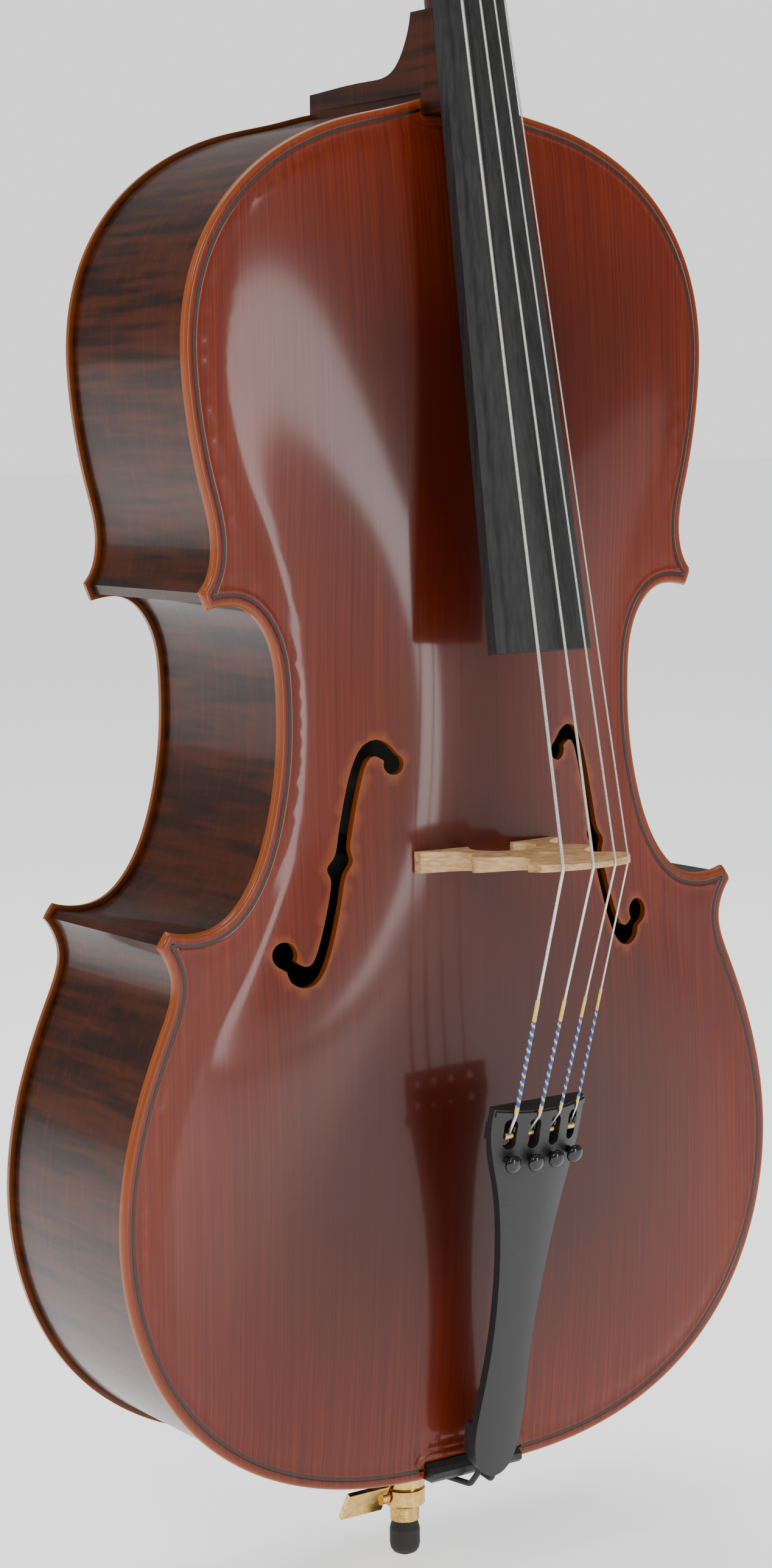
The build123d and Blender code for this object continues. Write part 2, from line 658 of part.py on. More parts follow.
with BuildPart() as bridge:
    with BuildSketch(bridge_plane.offset(-BRIDGE_FOOT)):
        with BuildLine():
            Polyline(*BRIDGE_ARCH)
            Line(BRIDGE_ARCH[-1], BRIDGE_SIDE[0])
            Polyline(BRIDGE_SIDE[0], BRIDGE_SIDE[1])
            Spline(*BRIDGE_SIDE[1:])
            Spline(*BRIDGE_CROWN_POINTS)
            Line(BRIDGE_CROWN_POINTS[-1], (-BRIDGE_SIDE[-2][0], BRIDGE_SIDE[-2][1]))
            Spline(*[(-x, y) for x, y in reversed(BRIDGE_SIDE[1:-1])])
            Polyline((-BRIDGE_SIDE[1][0], BRIDGE_SIDE[1][1]), (-BRIDGE_SIDE[0][0], BRIDGE_SIDE[0][1]),
                     BRIDGE_ARCH[0])
        make_face()
        with BuildLine():
            Polyline(*HEART, close=True)
        make_face(mode=Mode.SUBTRACT)
    extrude(amount=2 * BRIDGE_FOOT)
    with BuildSketch(side_plane(bridge_plane)):
        with BuildLine():
            Polyline((60, -BRIDGE_FOOT / 2), (85, -BRIDGE_FOOT / 2), (190, -BRIDGE_CROWN / 2),
                     (190, BRIDGE_CROWN / 2), (85, BRIDGE_FOOT / 2), (60, BRIDGE_FOOT / 2), close=True)
        make_face()
    extrude(amount=60, both=True, mode=Mode.INTERSECT)
    add(outer_arch, mode=Mode.SUBTRACT)

# ---------------------------------------------------------------- tailpiece
TAIL_SIDE = ((30, 0), (30.3, -8), (28, -26), (22.5, -47), (18.5, -68), (15.5, -92), (13.8, -116), (13.3, -137),
             (13.8, -157), (15, -177), (15.2, -191), (13, -204), (8, -212), (0, -TAIL_LENGTH))
TAIL_CROWN = 8.0
SLOT_TOP = -5.0
SLOT_BOTTOM = -22.0
SLOT_WIDTH = 7.0
SCREW_DROP = -28.0
SCREW_RADIUS = 2.0
KNOB_RADIUS = 4.8
KNOB_HEIGHT = 3.6
SCREW_TRAVEL = 3.0
KNOB_GAP = 0.4  # left over the crown when a screw is fully in
AXLE_PLACE = (-15.0, -4.6)  # drop, height over the tail plane
AXLE_RADIUS = 1.2
WEB_X = (-27.0, -13.3, 0.0, 13.3, 27.0)
LEVER_WIDTH = 4.2
LEVER_SIDE = ((-9.2, -7), (-9.2, 5.4), (-12, 5.4), (-12.6, -1.9), (-17.4, -1.9), (-19, -6.4), (-31.5, -7.6),
              (-31.5, -10.2), (-18, -9.0), (-12, -8.2))
BALL_PLACE = (-14.9, 2.6)
BALL_RADIUS = 2.1
RIDGE_DROP = -2.5
RIDGE_HEIGHT = 1.2
CORD_HOLE_X = 6.0
CORD_RADIUS = 1.6
tail_side_plane = side_plane(tail_plane)
string_tail_x = {name: TAIL_SPREAD * SEAT_SHARE[name] for name in STRINGS}


def crown_height(x):
    """Height of the tailpiece's front face over the tail plane."""
    return TAIL_CROWN - x * x / (2 * TAIL_CROWN_RADIUS)


def tail_shell(raised):
    """A round bar along the tailpiece whose front is its crowned face, raised by a distance."""
    end = tail_plane.from_local_coords((0, -TAIL_LENGTH - 5, TAIL_CROWN - TAIL_CROWN_RADIUS))
    with BuildPart() as bar:
        with BuildSketch(Plane(origin=end, x_dir=(1, 0, 0), z_dir=tail_plane.y_dir)):
            Circle(TAIL_CROWN_RADIUS + raised)
        extrude(amount=TAIL_LENGTH + 10)
    return bar.part


tail_outer = tail_shell(0.0)
tail_inner = tail_shell(-TAIL_WALL)
tail_ridge = tail_shell(RIDGE_HEIGHT)

with BuildPart() as tail_cavity:
    with BuildSketch(tail_plane.offset(-10)):
        with Locations((0, -94)):
            Rectangle(80, 182)
    extrude(amount=30)
    add(tail_inner, mode=Mode.INTERSECT)

with BuildPart() as ridge:
    with BuildSketch(tail_plane):
        with Locations((0, RIDGE_DROP)):
            Rectangle(59, 3)
    extrude(amount=30)
    add(tail_ridge, mode=Mode.INTERSECT)

with BuildPart() as tailpiece:
    with BuildSketch(tail_plane.offset(-4)):
        with BuildLine():
            Spline(*eased(TAIL_SIDE, (0.05, -1), (-1, 0)))
            mirror(about=Plane.YZ)
            Line(TAIL_SIDE[0], (-TAIL_SIDE[0][0], 0))
        make_face()
    extrude(amount=30)
    add(tail_outer, mode=Mode.INTERSECT)
    add(tail_cavity.part, mode=Mode.SUBTRACT)
    add(ridge.part)
    for web_x in WEB_X:
        with BuildSketch(tail_plane.offset(-7.5)):
            with Locations((web_x, AXLE_PLACE[0])):
                Rectangle(2.6, 9)
        extrude(amount=7.5 + crown_height(web_x) - 3)
    with BuildSketch(tail_plane.offset(-20)):
        for x in string_tail_x.values():
            with Locations((x, (SLOT_TOP + SLOT_BOTTOM) / 2)):
                SlotOverall(SLOT_TOP - SLOT_BOTTOM, SLOT_WIDTH, rotation=90)
            with Locations((x, SCREW_DROP)):
                Circle(SCREW_RADIUS + RUNNING_FIT)
    extrude(amount=50, mode=Mode.SUBTRACT)
    with BuildSketch(tail_side_plane.offset(-30)):
        with Locations(AXLE_PLACE):
            Circle(AXLE_RADIUS)
    extrude(amount=60, mode=Mode.SUBTRACT)
    with BuildSketch(Plane(tail_plane.from_local_coords((0, -TAIL_LENGTH - 5, 0)), x_dir=(1, 0, 0),
                           z_dir=tail_plane.y_dir)):
        with Locations((-CORD_HOLE_X, 1), (CORD_HOLE_X, 1)):
            Circle(CORD_RADIUS + 0.1)
    extrude(amount=40, mode=Mode.SUBTRACT)

# ---------------------------------------------------------------- fine tuners
with BuildPart() as tuner_axle:
    with BuildSketch(tail_side_plane.offset(-28.3)):
        with Locations(AXLE_PLACE):
            Circle(AXLE_RADIUS)
    extrude(amount=56.6)

pieces = {}
for name, x in string_tail_x.items():
    with BuildPart() as lever:
        with BuildSketch(tail_side_plane.offset(x - LEVER_WIDTH / 2)):
            with BuildLine():
                Polyline(*LEVER_SIDE, close=True)
            make_face()
            with Locations(AXLE_PLACE):
                Circle(AXLE_RADIUS + RUNNING_FIT, mode=Mode.SUBTRACT)
        extrude(amount=LEVER_WIDTH)
        with BuildSketch(tail_plane):
            with Locations((x, -10)):
                Rectangle(2 * STRING_RADIUS[name] + 0.6, 6)
        extrude(amount=10, mode=Mode.SUBTRACT)
    pieces[f"tuner_lever_{name}"] = lever.part

    with BuildPart() as ball:
        with BuildSketch(tail_side_plane.offset(x - 2.5)):
            with Locations(BALL_PLACE):
                Circle(BALL_RADIUS)
        extrude(amount=5)
        chamfer(ball.edges().filter_by(GeomType.CIRCLE), 0.5)
    pieces[f"string_ball_{name}"] = ball.part

    knob_base = crown_height(max(abs(x) - KNOB_RADIUS, 0)) + SCREW_TRAVEL + KNOB_GAP
    with BuildPart() as screw:
        with BuildSketch(tail_plane.offset(-6.5)):
            with Locations((x, SCREW_DROP)):
                Circle(SCREW_RADIUS)
        extrude(amount=6.5 + knob_base + KNOB_HEIGHT - 1)
        chamfer(screw.edges().filter_by(GeomType.CIRCLE), 0.4)
    pieces[f"tuner_screw_{name}"] = screw.part

    with BuildPart() as knob:
        with BuildSketch(tail_plane.offset(knob_base)):
            with Locations((x, SCREW_DROP)):
                Circle(KNOB_RADIUS)
        extrude(amount=KNOB_HEIGHT)
        chamfer(knob.edges().filter_by(GeomType.CIRCLE), 0.9)
        with BuildSketch(tail_plane.offset(knob_base)):
            with Locations((x, SCREW_DROP)):
                Circle(SCREW_RADIUS + RUNNING_FIT)
        extrude(amount=KNOB_HEIGHT - 0.9, mode=Mode.SUBTRACT)
    pieces[f"tuner_knob_{name}"] = knob.part

# ---------------------------------------------------------------- pegs and string windings
PEG_COLLAR_RADIUS = 9.5
PEG_COLLAR = 4.0
PEG_GRIP = (13.5, 16.0, 9.5)  # half length along the neck, length out, thickness
PEG_NECK_LENGTH = 14.0
WINDING_RADIUS = 8.4
WINDING_LENGTH = 9.0
WINDING_X = {"c": -5.6, "g": -3.2, "d": 3.2, "a": 5.6}
STRING_GAP = 0.3


def pegbox_half_width(along):
    low, high = PEGBOX_WIDTHS
    return (low + (high - low) * (along + 8) / 136) / 2


for name, (along, side) in PEGS.items():
    half_width = pegbox_half_width(along)
    start = half_width + 1.5
    with BuildPart() as peg:
        peg_plane = side_plane(head_plane)
        for low, high, radius in ((-half_width - 1.5, start, PEG_RADIUS),
                                  (start, start + PEG_COLLAR, PEG_COLLAR_RADIUS),
                                  (start + PEG_COLLAR, start + PEG_COLLAR + PEG_NECK_LENGTH, 5.0)):
            with BuildSketch(peg_plane.offset(side * low)):
                with Locations((along, PEG_FRONT)):
                    Circle(radius)
            extrude(amount=side * (high - low))
        grip_base = start + PEG_COLLAR + PEG_NECK_LENGTH - 3
        with BuildSketch(head_plane.offset(PEG_FRONT - PEG_GRIP[2] / 2)):
            with Locations((side * (grip_base + PEG_GRIP[1] - 3), along)):
                Ellipse(PEG_GRIP[1], PEG_GRIP[0])
        extrude(amount=PEG_GRIP[2])
        chamfer(peg.edges().filter_by(GeomType.ELLIPSE), 2.5)
    pieces[f"peg_{name}"] = peg.part

    with BuildPart() as winding:
        with BuildSketch(side_plane(head_plane).offset(WINDING_X[name] - WINDING_LENGTH / 2)):
            with Locations((along, PEG_FRONT)):
                Circle(WINDING_RADIUS)
                Circle(PEG_RADIUS, mode=Mode.SUBTRACT)
        extrude(amount=WINDING_LENGTH)
    pieces[f"string_winding_{name}"] = winding.part

# ---------------------------------------------------------------- strings
NUT_SEAT_DROP = -1.0
BRIDGE_BEND = 6.0
NUT_BEND = 5.0
GROOVE_FIT = 0.05


def tangent_on_winding(name, start_along, start_front):
    """Where a string from (start_along, start_front) meets the front of its winding, in head coordinates."""
    along, _ = PEGS[name]
    reach = WINDING_RADIUS + STRING_RADIUS[name] + STRING_GAP
    back = Vector(start_along - along, start_front - PEG_FRONT)
    angle = atan2(back.Y, back.X) - acos(reach / back.length)
    return along + reach * cos(angle), PEG_FRONT + reach * sin(angle)


grooves = []
for name in STRINGS:
    radius = STRING_RADIUS[name]
    tail_x = string_tail_x[name]
    nut_x = NUT_SPREAD * SEAT_SHARE[name]
    nut_height = BOARD_EDGE + NUT_RISE + (BOARD_CROWN[1] - BOARD_EDGE) * (1 - (2 * nut_x / BOARD_WIDTHS[1])**2)
    seat = neck_plane.from_local_coords((nut_x, NUT_SEAT_DROP + 3, nut_height + radius + 0.6))
    nut_in_head = head_plane.to_local_coords(seat)
    wind_along, wind_front = tangent_on_winding(name, nut_in_head.Y, nut_in_head.Z)
    bridge_x, bridge_front = BRIDGE_SEATS[name]
    bridge_height = BRIDGE_STATION + (bridge_front - 82) * sin(lean)
    route = (
        tail_plane.from_local_coords((tail_x, BALL_PLACE[0] + BALL_RADIUS + 0.1, BALL_PLACE[1] + 0.9)),
        tail_plane.from_local_coords((tail_x, RIDGE_DROP, crown_height(tail_x) + RIDGE_HEIGHT + radius)),
        Vector(bridge_x, -bridge_front, BODY_BOTTOM + bridge_height),
        seat,
        head_plane.from_local_coords((WINDING_X[name], wind_along, wind_front)),
    )
    with BuildPart() as string:
        with BuildLine() as path:
            FilletPolyline(*route, radius=[2.5, BRIDGE_BEND, NUT_BEND])
        with BuildSketch(path.line ^ 0):
            Circle(radius)
        sweep()
    pieces[f"string_{name}"] = string.part
    with BuildPart() as groove:
        add(path.line)
        with BuildSketch(path.line ^ 0):
            Circle(radius + GROOVE_FIT)
        sweep(path=path.line)
    grooves.append(groove.part)

# ---------------------------------------------------------------- endpin and tail cord
PLUG_RADII = (13.5, 11.5)
FLANGE_RADIUS = 15.5
FLANGE_WAIST = (12.5, -8.0, -12.0)
COLLAR_BOTTOM = -36.0
RING_BOTTOMS = (-17.0, -26.0, COLLAR_BOTTOM)
RING_STEP = 0.9
FERRULE_RADIUS = 8.3
FERRULE_BOTTOM = -45.0
FERRULE_GAP = 0.4
SCREW_STATION = -30.0
THUMB_SHANK = 2.5
PADDLE = (27.0, 18.0, 3.2)  # out, across, thickness
PADDLE_START = 14.0
PADDLE_TURN = 30.0
TIP_FLAT = 4.0
TIP_TOP_RADIUS = 7.2
TIP_STRAIGHT = (14.0, 6.0)  # top and bottom of its straight part over the floor
ROD_FOOT = 8.0
CORD_LEVEL = -4.0
bore = ROD_RADIUS + RUNNING_FIT
plug_top = BODY_BOTTOM + END_BLOCK[1] + 4
rib_face = BODY_BOTTOM + OVERHANG


def turned(points):
    """A solid of revolution about the endpin axis from (radius, height) points."""
    with BuildPart() as solid:
        with BuildSketch(Plane.XZ):
            with BuildLine():
                Polyline(*points, close=True)
            make_face()
        revolve(axis=Axis.Z)
    return solid.part


plug_cone = turned(((0, rib_face - 5), (PLUG_RADII[0], rib_face - 5), (PLUG_RADII[0], rib_face),
                    (PLUG_RADII[1], plug_top), (0, plug_top)))
pieces["endpin_plug"] = turned((
    (bore, BODY_BOTTOM + FLANGE_WAIST[2]), (FLANGE_WAIST[0], BODY_BOTTOM + FLANGE_WAIST[2]),
    (FLANGE_RADIUS, BODY_BOTTOM + FLANGE_WAIST[1]), (FLANGE_RADIUS, rib_face), (PLUG_RADII[0], rib_face),
    (PLUG_RADII[1], plug_top), (bore, plug_top)))

ring_profile = [(bore, BODY_BOTTOM + FLANGE_WAIST[2]),
                (COLLAR_RADIUS - RING_STEP, BODY_BOTTOM + FLANGE_WAIST[2])]
ring_top = FLANGE_WAIST[2]
for ring_bottom in RING_BOTTOMS:
    ring_profile += [(COLLAR_RADIUS, BODY_BOTTOM + ring_top - RING_STEP),
                     (COLLAR_RADIUS, BODY_BOTTOM + ring_bottom + RING_STEP),
                     (COLLAR_RADIUS - RING_STEP, BODY_BOTTOM + ring_bottom)]
    ring_top = ring_bottom
ring_profile.append((bore, BODY_BOTTOM + COLLAR_BOTTOM))

with BuildPart() as collar:
    add(turned(ring_profile))
    with BuildSketch(Plane.YZ):
        with Locations((0, BODY_BOTTOM + SCREW_STATION)):
            Circle(THUMB_SHANK + RUNNING_FIT)
    extrude(amount=-20, mode=Mode.SUBTRACT)
pieces["endpin_collar"] = collar.part

with BuildPart() as thumb_screw:
    for low, high, radius in ((ROD_RADIUS + 0.4, 12.4, THUMB_SHANK), (12.4, PADDLE_START + 3, 4.0)):
        with BuildSketch(Plane.YZ.offset(-low)):
            with Locations((0, BODY_BOTTOM + SCREW_STATION)):
                Circle(radius)
        extrude(amount=low - high)
    with BuildSketch(Plane.YZ.offset(-PADDLE_START)):
        with Locations((0, BODY_BOTTOM + SCREW_STATION)):
            Rectangle(PADDLE[2], PADDLE[1], rotation=PADDLE_TURN)
    extrude(amount=-PADDLE[0])
    fillet(thumb_screw.edges().filter_by(Axis.X).group_by(SortBy.LENGTH)[-1], 0.8)
pieces["endpin_thumb_screw"] = thumb_screw.part

with BuildPart() as rod:
    with BuildSketch(Plane.XY.offset(ROD_FOOT)):
        Circle(ROD_RADIUS)
    extrude(amount=ROD_LENGTH)
    chamfer(rod.edges().filter_by(GeomType.CIRCLE), 0.8)
pieces["endpin_rod"] = rod.part

ferrule_top = BODY_BOTTOM + COLLAR_BOTTOM - FERRULE_GAP
pieces["endpin_ferrule"] = turned((
    (ROD_RADIUS, BODY_BOTTOM + FERRULE_BOTTOM), (FERRULE_RADIUS - 0.6, BODY_BOTTOM + FERRULE_BOTTOM),
    (FERRULE_RADIUS, BODY_BOTTOM + FERRULE_BOTTOM + 0.6), (FERRULE_RADIUS, ferrule_top - 0.6),
    (FERRULE_RADIUS - 0.6, ferrule_top), (ROD_RADIUS, ferrule_top)))
pieces["endpin_tip"] = turned((
    (0, 0), (TIP_FLAT, 0), (TIP_FLAT + 2.8, 1.4), (TIP_RADIUS - 0.5, 3.4), (TIP_RADIUS, TIP_STRAIGHT[1]),
    (TIP_RADIUS, TIP_STRAIGHT[0]), (TIP_TOP_RADIUS, BODY_BOTTOM + FERRULE_BOTTOM),
    (ROD_RADIUS, BODY_BOTTOM + FERRULE_BOTTOM), (ROD_RADIUS, ROD_FOOT), (0, ROD_FOOT)))

cord_reach = FLANGE_RADIUS + CORD_RADIUS + 0.1
cord_start = tail_plane.from_local_coords((CORD_HOLE_X, -TAIL_LENGTH + 12, 1))
cord_exit = tail_plane.from_local_coords((CORD_HOLE_X, -TAIL_LENGTH - 1, 1))
over_saddle = (CORD_HOLE_X + 1, -FRONT_FLAT - SADDLE_RISE - 2, BODY_BOTTOM + CORD_LEVEL)
cord_half = (
    (cord_start.X, cord_start.Y, cord_start.Z), (cord_exit.X, cord_exit.Y, cord_exit.Z), over_saddle,
    (cord_reach, -cord_reach, BODY_BOTTOM + CORD_LEVEL), (cord_reach, cord_reach, BODY_BOTTOM + CORD_LEVEL),
)
cord_radii = (4.0, 4.0, 20.0, cord_reach - 0.1)

with BuildPart() as tail_cord:
    with BuildLine() as cord_path:
        FilletPolyline(*cord_half, *[(-x, y, z) for x, y, z in reversed(cord_half)],
                       radius=[*cord_radii, *reversed(cord_radii)])
    with BuildSketch(cord_path.line ^ 0):
        Circle(CORD_RADIUS)
    sweep()
pieces["tail_cord"] = tail_cord.part

# ---------------------------------------------------------------- grooves, room for the plug, then export
grooved = {}
for grooved_name, blank in (("nut", nut), ("bridge", bridge), ("tailpiece", tailpiece)):
    with BuildPart() as cut:
        add(blank.part)
        for groove_part in grooves:
            add(groove_part, mode=Mode.SUBTRACT)
    grooved[grooved_name] = cut.part

with BuildPart() as bored_block:
    add(end_block.part)
    add(plug_cone, mode=Mode.SUBTRACT)
for rib_name in ("lower_rib_bass", "lower_rib_treble"):
    with BuildPart() as bored_rib:
        add(ribs[rib_name])
        add(plug_cone, mode=Mode.SUBTRACT)
    ribs[rib_name] = bored_rib.part

pieces.update(ribs)
pieces.update({
    "top_plate": top_plate.part,
    "back_plate": back_plate.part,
    "top_purfling": top_purfling.part,
    "back_purfling": back_purfling.part,
    "corner_blocks": corner_blocks.part,
    "neck_block": neck_block.part,
    "end_block": bored_block.part,
    "top_linings": top_linings.part,
    "back_linings": back_linings_part,
    "bass_bar": bass_bar.part,
    "sound_post": sound_post.part,
    "neck": neck.part,
    "fingerboard": fingerboard.part,
    "nut": grooved["nut"],
    "saddle": saddle.part,
    "bridge": grooved["bridge"],
    "tailpiece": grooved["tailpiece"],
    "tuner_axle": tuner_axle.part,
})

os.makedirs("parts", exist_ok=True)
for label, piece in pieces.items():
    piece.label = label
    export_step(piece, f"parts/{label}.step")
print(len(pieces), "nodes")
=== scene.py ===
"""Looks of a full-size cello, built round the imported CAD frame."""

import json
import math

import bmesh
import bpy
import numpy as np
from mathutils import Matrix, Vector
from mathutils.geometry import delaunay_2d_cdt

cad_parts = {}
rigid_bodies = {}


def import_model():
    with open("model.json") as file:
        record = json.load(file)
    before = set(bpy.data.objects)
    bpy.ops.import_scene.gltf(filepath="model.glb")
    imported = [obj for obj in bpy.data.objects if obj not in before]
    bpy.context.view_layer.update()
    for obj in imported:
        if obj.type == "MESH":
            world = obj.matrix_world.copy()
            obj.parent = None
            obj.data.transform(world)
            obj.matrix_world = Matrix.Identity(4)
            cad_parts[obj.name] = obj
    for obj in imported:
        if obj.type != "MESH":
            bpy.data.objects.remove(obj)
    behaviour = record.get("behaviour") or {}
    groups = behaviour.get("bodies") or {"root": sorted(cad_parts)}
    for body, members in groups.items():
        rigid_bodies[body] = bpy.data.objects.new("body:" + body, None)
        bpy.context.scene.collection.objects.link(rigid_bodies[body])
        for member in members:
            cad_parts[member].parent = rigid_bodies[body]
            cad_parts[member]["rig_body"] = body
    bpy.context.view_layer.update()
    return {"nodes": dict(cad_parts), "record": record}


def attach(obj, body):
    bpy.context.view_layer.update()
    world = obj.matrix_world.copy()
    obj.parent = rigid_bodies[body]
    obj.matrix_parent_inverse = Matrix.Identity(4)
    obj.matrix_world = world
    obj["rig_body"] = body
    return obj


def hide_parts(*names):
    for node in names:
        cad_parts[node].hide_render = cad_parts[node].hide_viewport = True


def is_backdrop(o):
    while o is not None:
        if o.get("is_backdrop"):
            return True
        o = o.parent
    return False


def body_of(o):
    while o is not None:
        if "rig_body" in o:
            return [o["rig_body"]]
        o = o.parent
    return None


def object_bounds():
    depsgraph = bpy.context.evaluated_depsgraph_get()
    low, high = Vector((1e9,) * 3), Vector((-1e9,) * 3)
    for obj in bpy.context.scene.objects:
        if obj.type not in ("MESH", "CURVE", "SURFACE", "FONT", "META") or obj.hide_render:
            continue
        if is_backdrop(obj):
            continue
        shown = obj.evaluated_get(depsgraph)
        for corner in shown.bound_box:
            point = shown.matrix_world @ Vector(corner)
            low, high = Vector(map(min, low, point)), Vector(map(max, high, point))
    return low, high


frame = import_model()
nodes = frame["nodes"]
STRINGS = ("c", "g", "d", "a")
ROOT = "instrument"
BODY_BOTTOM = 0.064

# ---------------------------------------------------------------- camera
AZIMUTH, ELEVATION, ROLL = (math.radians(v) for v in (-34.747, -0.234, -0.668))
DISTANCE = 1.76023
AIM = Vector((-0.003895, 0, 0.650634))
LENS = 71.431
SHIFT_Y = -0.2438

back = Vector((math.sin(AZIMUTH) * math.cos(ELEVATION), -math.cos(AZIMUTH) * math.cos(ELEVATION),
               math.sin(ELEVATION)))
level_right = (-back).cross(Vector((0, 0, 1))).normalized()
level_up = level_right.cross(-back)
right = level_right * math.cos(ROLL) + level_up * math.sin(ROLL)
up = level_up * math.cos(ROLL) - level_right * math.sin(ROLL)
camera_data = bpy.data.cameras.new("camera")
camera_data.sensor_width = 36
camera_data.lens = LENS
camera_data.shift_y = SHIFT_Y
camera_data.clip_end = 50
camera = bpy.data.objects.new("camera", camera_data)
bpy.context.collection.objects.link(camera)
turned = Matrix((right, up, back)).transposed().to_4x4()
camera.matrix_world = Matrix.Translation(AIM + back * DISTANCE) @ turned
bpy.context.scene.camera = camera


# ---------------------------------------------------------------- materials
class Nodes:
    """A material's node tree with short calls for adding and joining nodes."""

    def __init__(self, name, **shader):
        self.material = bpy.data.materials.new(name)
        self.material.use_nodes = True
        self.tree = self.material.node_tree
        self.shader = self.tree.nodes["Principled BSDF"]
        for socket, value in shader.items():
            self.shader.inputs[socket.replace("_", " ")].default_value = value

    def add(self, kind, **settings):
        node = self.tree.nodes.new("ShaderNode" + kind)
        for key, value in settings.items():
            if hasattr(node, key):
                setattr(node, key, value)
            else:
                node.inputs[key.replace("_", " ")].default_value = value
        return node

    def join(self, source, target, socket):
        self.tree.links.new(source, target.inputs[socket])

    def stretched(self, scale):
        place = self.add("TexCoord")
        mapping = self.add("Mapping")
        mapping.inputs["Scale"].default_value = scale
        self.join(place.outputs["Object"], mapping, "Vector")
        return mapping.outputs["Vector"]

    def noise(self, scale, size, detail=4.0, roughness=0.55):
        node = self.add("TexNoise", Scale=size, Detail=detail, Roughness=roughness)
        self.join(self.stretched(scale), node, "Vector")
        return node.outputs["Fac"]

    def ramp(self, factor, *stops):
        node = self.add("ValToRGB")
        elements = node.color_ramp.elements
        while len(elements) < len(stops):
            elements.new(0.5)
        for element, (place, colour) in zip(elements, stops):
            element.position = place
            element.color = (*colour, 1)
        self.join(factor, node, "Fac")
        return node.outputs["Color"]

    def mix(self, factor, first, second, blend="MIX"):
        node = self.add("Mix", data_type="RGBA", blend_type=blend)
        colours = [s for s in node.inputs if s.type == "RGBA"]
        if isinstance(factor, float):
            node.inputs[0].default_value = factor
        else:
            self.tree.links.new(factor, node.inputs[0])
        for socket, value in zip(colours, (first, second)):
            if isinstance(value, tuple):
                socket.default_value = (*value, 1)
            else:
                self.tree.links.new(value, socket)
        return next(s for s in node.outputs if s.type == "RGBA")

    def colour(self, source):
        self.join(source, self.shader, "Base Color")

    def rough(self, factor, low, high):
        node = self.add("MapRange")
        node.inputs["To Min"].default_value = low
        node.inputs["To Max"].default_value = high
        self.join(factor, node, "Value")
        self.join(node.outputs["Result"], self.shader, "Roughness")

    def bump(self, height, strength, distance):
        node = self.add("Bump", Strength=strength, Distance=distance)
        self.join(height, node, "Height")
        self.join(node.outputs["Normal"], self.shader, "Normal")


def varnished(name, dark, middle, light, grain_scale, flame, highlight_colour, coat):
    """Glossy varnish over grain that runs up the instrument, turned to a painted highlight colour along the
    edges where the painted highlight attribute is 1.
    """
    m = Nodes(name, Coat_Weight=coat, Coat_Roughness=0.1, IOR=1.4, Specular_IOR_Level=0.25)
    grain = m.noise(grain_scale, 1.0, 5.0)
    tone = m.noise((1, 1, 1), 5.0, 2.0)
    wood = m.ramp(grain, (0.3, dark), (0.52, middle), (0.72, light))
    wood = m.mix(0.35, wood, m.ramp(tone, (0.3, dark), (0.7, light)))
    if flame:
        bands = m.noise((12, 12, 150), 1.0, 2.0)
        wood = m.mix(0.5, wood, m.ramp(bands, (0.38, dark), (0.62, light)))
    shade = m.add("Attribute", attribute_name="shade")
    wood = m.mix(shade.outputs["Fac"], wood, tuple(v * 0.3 for v in middle))
    # painted highlight: the varnish is lightened to a golden colour on the edge bead and round the f-hole
    # rims
    wear = m.add("Attribute", attribute_name="wear")
    m.colour(m.mix(wear.outputs["Fac"], wood, highlight_colour))
    m.rough(tone, 0.3, 0.42)
    m.bump(grain, 0.12, 0.0004)
    return m.material


def speckled(name, dark, light, scale, size, roughness, bump, **shader):
    """A two-tone surface with fine relief."""
    m = Nodes(name, **shader)
    fleck = m.noise(scale, size, 6.0)
    m.colour(m.ramp(fleck, (0.35, dark), (0.68, light)))
    m.rough(fleck, *roughness)
    m.bump(fleck, bump, 0.0003)
    return m.material
